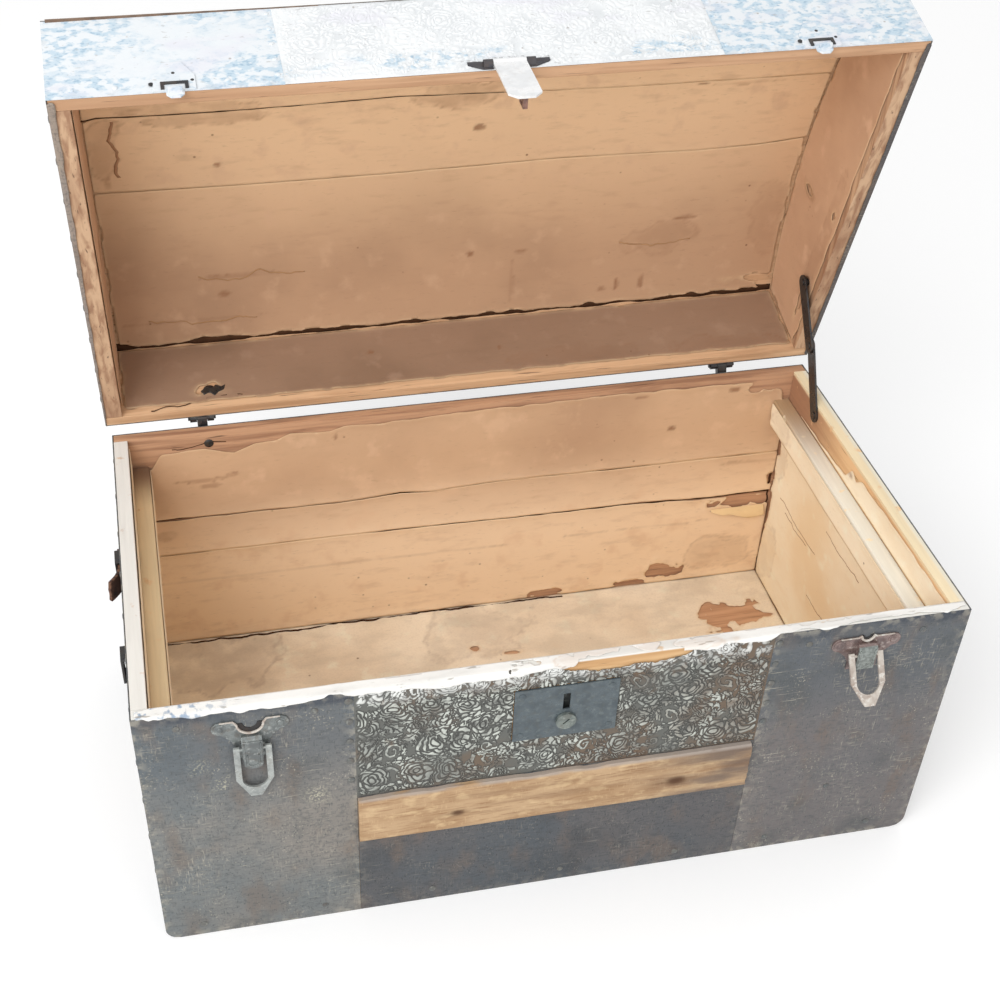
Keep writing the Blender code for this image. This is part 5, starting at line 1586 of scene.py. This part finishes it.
# %% Nails of the lid
lid_tin_front = size_of("lid_front_left_sheet")[0][1] - DENT / 2
lid_tin_back = size_of("lid_back_sheet")[1][1] + DENT / 2
lid_seam = [(s * (panel + 5), lid_tin_front, z) for s in (-1, 1)
            for z in np.arange(lid_rim + 12, lid_rim + 96, 20)]
lid_row = [(x, lid_tin_front, lid_rim + 9) for x in (-365, -330, -238, 238, 330, 365)]
# The lid front's nails take its near-white painted highlight.
studs("lid_front_nails", lid_seam + lid_row, TO_FRONT, pale_tin, "lid", 2.2, seed=511)
studs("lid_back_nails",
      [(x, lid_tin_back, z) for x in np.arange(-350, 351, 70) for z in (lid_rim + 12, lid_rim + 84)],
      TO_BACK, body="lid", seed=513)
for name, side in zip(SIDES, (-1, 1)):
    spots = [(side * (lid_half + DENT / 2), y, lid_rim + 12) for y in np.arange(-180, 181, 45)]
    spots += [(side * (lid_half + DENT / 2), y, float(vault(y)) - 4) for y in np.arange(-180, 181, 45)]
    studs(f"lid_{name}_end_nails", spots, (side, 0, 0), body="lid", seed=515 + side)
top_radius = DOME_RADIUS + size_of("lid_top_sheet")[1][2] - crown_height
dome_rows = [(x, y) for x in (-lid_half + 9, lid_half - 9) for y in np.arange(-190, 191, 38)]
dome_rows += [(x, y) for y in (-198, 198) for x in np.arange(-320, 321, 64)]
on_top = [(x, y, DOME_CENTRE + math.sqrt(top_radius ** 2 - y ** 2)) for x, y in dome_rows]
studs("lid_top_nails", on_top, lambda spot: (0, spot[1], spot[2] - DOME_CENTRE), body="lid", seed=519)
print(len(lid_seam) + len(lid_row), "nails in the lid's front,", len(on_top), "in its dome")

# %% [markdown]
# ## Small parts of the catches
# Turned edges, ribs, brackets and clinched ends are too fine for the frame's solids. Two helpers make them
# all: a wire that follows a path, and a flat piece that is an outline with a thickness.

# %% Wires and flat pieces
WIRE_SIDES = 8
SLAB_EDGE = 0.3


def wire(name, path, radius, finish, body):
    """A round wire along points in millimetres, in one plane across y; radius may change along it."""
    path = np.asarray(path, float)
    radii = np.broadcast_to(radius, len(path))
    along = np.gradient(path, axis=0)
    along /= np.linalg.norm(along, axis=1)[:, None]
    out = np.array([0.0, 1.0, 0.0])
    aside = np.cross(along, out)
    points, faces = [], []
    for middle, side, size in zip(path, aside, radii):
        for k in range(WIRE_SIDES):
            angle = 2 * math.pi * k / WIRE_SIDES
            points.append(middle + size * (math.cos(angle) * side + math.sin(angle) * out))
    for ring in range(len(path) - 1):
        for k in range(WIRE_SIDES):
            a, b = ring * WIRE_SIDES + k, ring * WIRE_SIDES + (k + 1) % WIRE_SIDES
            faces.append((a, a + WIRE_SIDES, b + WIRE_SIDES, b))
    last = (len(path) - 1) * WIRE_SIDES
    faces += [tuple(range(WIRE_SIDES)), tuple(range(last + WIRE_SIDES - 1, last - 1, -1))]
    return piece(name, points, faces, finish, body)


def slab(name, outline, front, back, finish, body):
    """A flat piece with an outline in x and z and a thickness along y."""
    after = outline[1:] + outline[:1]
    if sum(x * next_z - next_x * z for (x, z), (next_x, next_z) in zip(outline, after)) < 0:
        outline = outline[::-1]
    count = len(outline)
    points = [(x, y, z) for y in (front, back) for x, z in outline]
    faces = [tuple(range(count)), tuple(range(2 * count - 1, count - 1, -1))]
    faces += [(k, k + count, (k + 1) % count + count, (k + 1) % count) for k in range(count)]
    made = piece(name, points, faces, finish, body)
    bevel = made.modifiers.new("soft_edges", "BEVEL")
    bevel.width = SLAB_EDGE * MM
    bevel.segments = 2
    return made


print("wires have", WIRE_SIDES, "sides, flat pieces an edge of", SLAB_EDGE, "mm")

# %% [markdown]
# ## Catches
# A catch's plate is turned over along its notch, so that the edge doesn't cut, and its ears are riveted on.
# The left catch also has a tongue with a round cup. Both could be modelled by hand, but one function builds
# them from their own metal and notch, so that they stay alike in everything else.

# %% The small parts of a catch
NOTCHES = ((11.5, 19.5, 8.0), (6.0, 14.0, 0.0))
EAR_SPREAD, EAR_DROP, EAR_RADIUS = 26.0, 23.0, 7.5
RIB_RADIUS, RIB_SPREAD = 0.8, 7.2
RAISED = 0.6
SHEET = 1.5
SOCKET_END = 6.5
TONGUE_HALF, TONGUE_ROUND = 9.2, 6.0
CUP_HALF, CUP_TALL = 5, 12


def mirrored(middle, half):
    """A closed outline from its right half."""
    return [(middle + x, z) for x, z in half] + [(middle - x, z) for x, z in reversed(half)]


def dress_catch(side, metal, notch):
    """Turned edge, a dark slab as painted shadow in the notch, tongue, ribs and ears; notch is a radius, a depth
    and how far a tongue hangs.
    """
    radius, drop, tongue = notch
    low, high = size_of(f"{side}_catch_plate")
    middle, socket_face, plate_face = (low[0] + high[0]) / 2, low[1], high[1] - SHEET
    turns = np.linspace(math.pi, 2 * math.pi, 25)
    ear_top = -EAR_DROP + EAR_RADIUS
    flange = [(x, ear_top) for x in np.linspace(-EAR_SPREAD, -radius - 3, 6)]
    edge_line = flange + [(radius * math.cos(a), radius * math.sin(a) - drop) for a in turns]
    edge_line += [(-x, z) for x, z in reversed(flange)]
    thickness = 0.7 + 0.6 * np.exp(-(np.array(edge_line)[:, 0] / (radius + 3)) ** 4)
    turned = [(middle + x, plate_face - 0.5, rim + z) for x, z in edge_line]
    # The turned edge takes the pale bail metal, which also paints a highlight along the notch.
    wire(f"{side}_catch_notch_edge", turned, thickness, bone, "base")
    # Painted shadow: a dark slab fills the notch behind the turned edge.
    deep = [(a, radius - 0.3) for a in turns] + [(a, radius * 0.55) for a in turns[::-1]]
    shadow = [(middle + r * math.cos(a), rim - drop + r * math.sin(a)) for a, r in deep]
    slab(f"{side}_catch_notch_shadow", shadow, plate_face + 0.3, plate_face + 1.6,
         notch_shadow_dark, "base")
    socket_top, socket_foot = rim - drop - radius - SOCKET_END, low[2] + SOCKET_END - tongue
    if tongue:
        bend = np.linspace(0, math.pi / 2, 5)
        corner = low[2] + 7 - tongue
        half = [(TONGUE_HALF, socket_top + 2)]
        half += [(2.4 + TONGUE_ROUND * math.cos(a), corner - TONGUE_ROUND * math.sin(a)) for a in bend]
        slab(f"{side}_catch_tongue", mirrored(middle, half), socket_face - RAISED, plate_face + RAISED,
             metal, "base")
        arc = np.linspace(0, math.pi, 13)
        cup = [(CUP_HALF * math.cos(a), socket_foot + 2 - 4 * math.sin(a)) for a in arc]
        cup = [(CUP_HALF, socket_foot + CUP_TALL)] + cup + [(-CUP_HALF, socket_foot + CUP_TALL)]
        cup = [(middle + x, socket_face - RAISED, z) for x, z in cup]
        wire(f"{side}_catch_cup", cup, RIB_RADIUS, metal, "base")
    rib_face = socket_face - (RAISED if tongue else 0)
    for k, rib_x in enumerate((-RIB_SPREAD, RIB_SPREAD)):
        rib = [(middle + rib_x, rib_face, z) for z in np.linspace(socket_top, socket_foot, 4)]
        wire(f"{side}_catch_rib_{k}", rib, RIB_RADIUS, metal, "base")
    ears = [(middle + s * EAR_SPREAD, plate_face, rim - EAR_DROP) for s in (-1, 1)]
    rivets = [(x, y - 0.8, z) for x, y, z in ears]
    studs(f"{side}_catch_washers", ears, TO_FRONT, metal, "base", 5.2, 0.2, 521)
    studs(f"{side}_catch_rivets", rivets, TO_FRONT, metal, "base", 3.0, 0.5, 523)


print("notches", NOTCHES[0][0], "and", NOTCHES[1][0], "mm in radius")

# %% [markdown]
# ## Keepers
# Each keeper on the lid sits in a dark iron bracket with three nails. The bracket is drawn as half an
# outline and mirrored, which keeps it even.

# %% Dress both catches and keepers
BRACKET_HALF, BRACKET_HEIGHT, BRACKET_WIDTH = 11.5, 9.0, 3.0
KEEPER_NAILS = ((-19, 9), (15, 11), (0, 21))


def dress_keeper(side):
    """The bracket and the nails of a keeper."""
    low, high = size_of(f"{side}_lid_keeper")
    middle, face = (low[0] + high[0]) / 2, high[1] - SHEET
    inside, foot = BRACKET_HALF - BRACKET_WIDTH, lid_rim + 0.6
    half = [(inside, foot + BRACKET_HEIGHT - BRACKET_WIDTH), (inside, foot), (BRACKET_HALF, foot),
            (BRACKET_HALF, foot + BRACKET_HEIGHT)]
    slab(f"{side}_keeper_bracket", mirrored(middle, half), face - 1.2, face, iron, "lid")
    spots = [(middle + x, face + 0.4, lid_rim + z) for x, z in KEEPER_NAILS]
    studs(f"{side}_keeper_nails", spots, TO_FRONT, iron, "lid", 2.0, 0.4, 525)


for side, metal, notch in zip(SIDES, (steel, rosy), NOTCHES):
    dress_catch(side, metal, notch)
    dress_keeper(side)
print("catches and keepers dressed, with", len(KEEPER_NAILS), "nails in each keeper")

# %% [markdown]
# ## Lock nails, bolts and a bare edge
# Four nails hold the lock's plate. Two hinge bolts come through the back, and the end of the lid's one is
# clinched over into a ragged star. At the left the lid's front edge has worn down to rusty tin.

# %% Lock nails, bolts and the crown's edge
NAIL_INSET = 7
BACK_BOLT, LID_BOLT, CLINCH_AT = (-283, 291), (-276, 331), (-272, 329)
CLINCH = [(-13, 0), (-7, 5), (-1, 3), (3, 7), (9, 4), (13, 6), (11, 0), (5, -3), (1, -7), (-4, -2),
          (-10, -5)]
EDGE_POINTS = 40
low, high = size_of("lock_plate")
corners = [(x, low[1], z) for x in (low[0] + NAIL_INSET, high[0] - NAIL_INSET)
           for z in (low[2] + NAIL_INSET, high[2] - NAIL_INSET)]
studs("lock_nails", corners, TO_FRONT, slate, "base", 3.2, 0.35, 527)
studs("back_bolt", [(BACK_BOLT[0], inner_back, BACK_BOLT[1])], TO_FRONT,
      iron, "base", 5.5, 0.3, 529)
studs("lid_back_bolt", [(LID_BOLT[0], lid_back, LID_BOLT[1])], TO_FRONT,
      iron, "lid", 6.0, 0.3, 531)
clinched = [(x + CLINCH_AT[0], z + CLINCH_AT[1]) for x, z in CLINCH]
slab("lid_back_clinch", clinched, lid_back - 2.4, lid_back - 0.4, iron, "lid")
low, high = size_of("lid_front_left_sheet")
crown_edge = [(x, low[1], high[2]) for x in np.linspace(low[0] + 4, -150, EDGE_POINTS)]
wire("lid_crown_edge", crown_edge, np.linspace(1.9, 0.5, EDGE_POINTS), rusty_edge, "lid")
print(len(corners), "nails in the lock's plate, a clinched bolt and", round(crown_edge[-1][0] - low[0]),
      "mm of bare edge")

# %% [markdown]
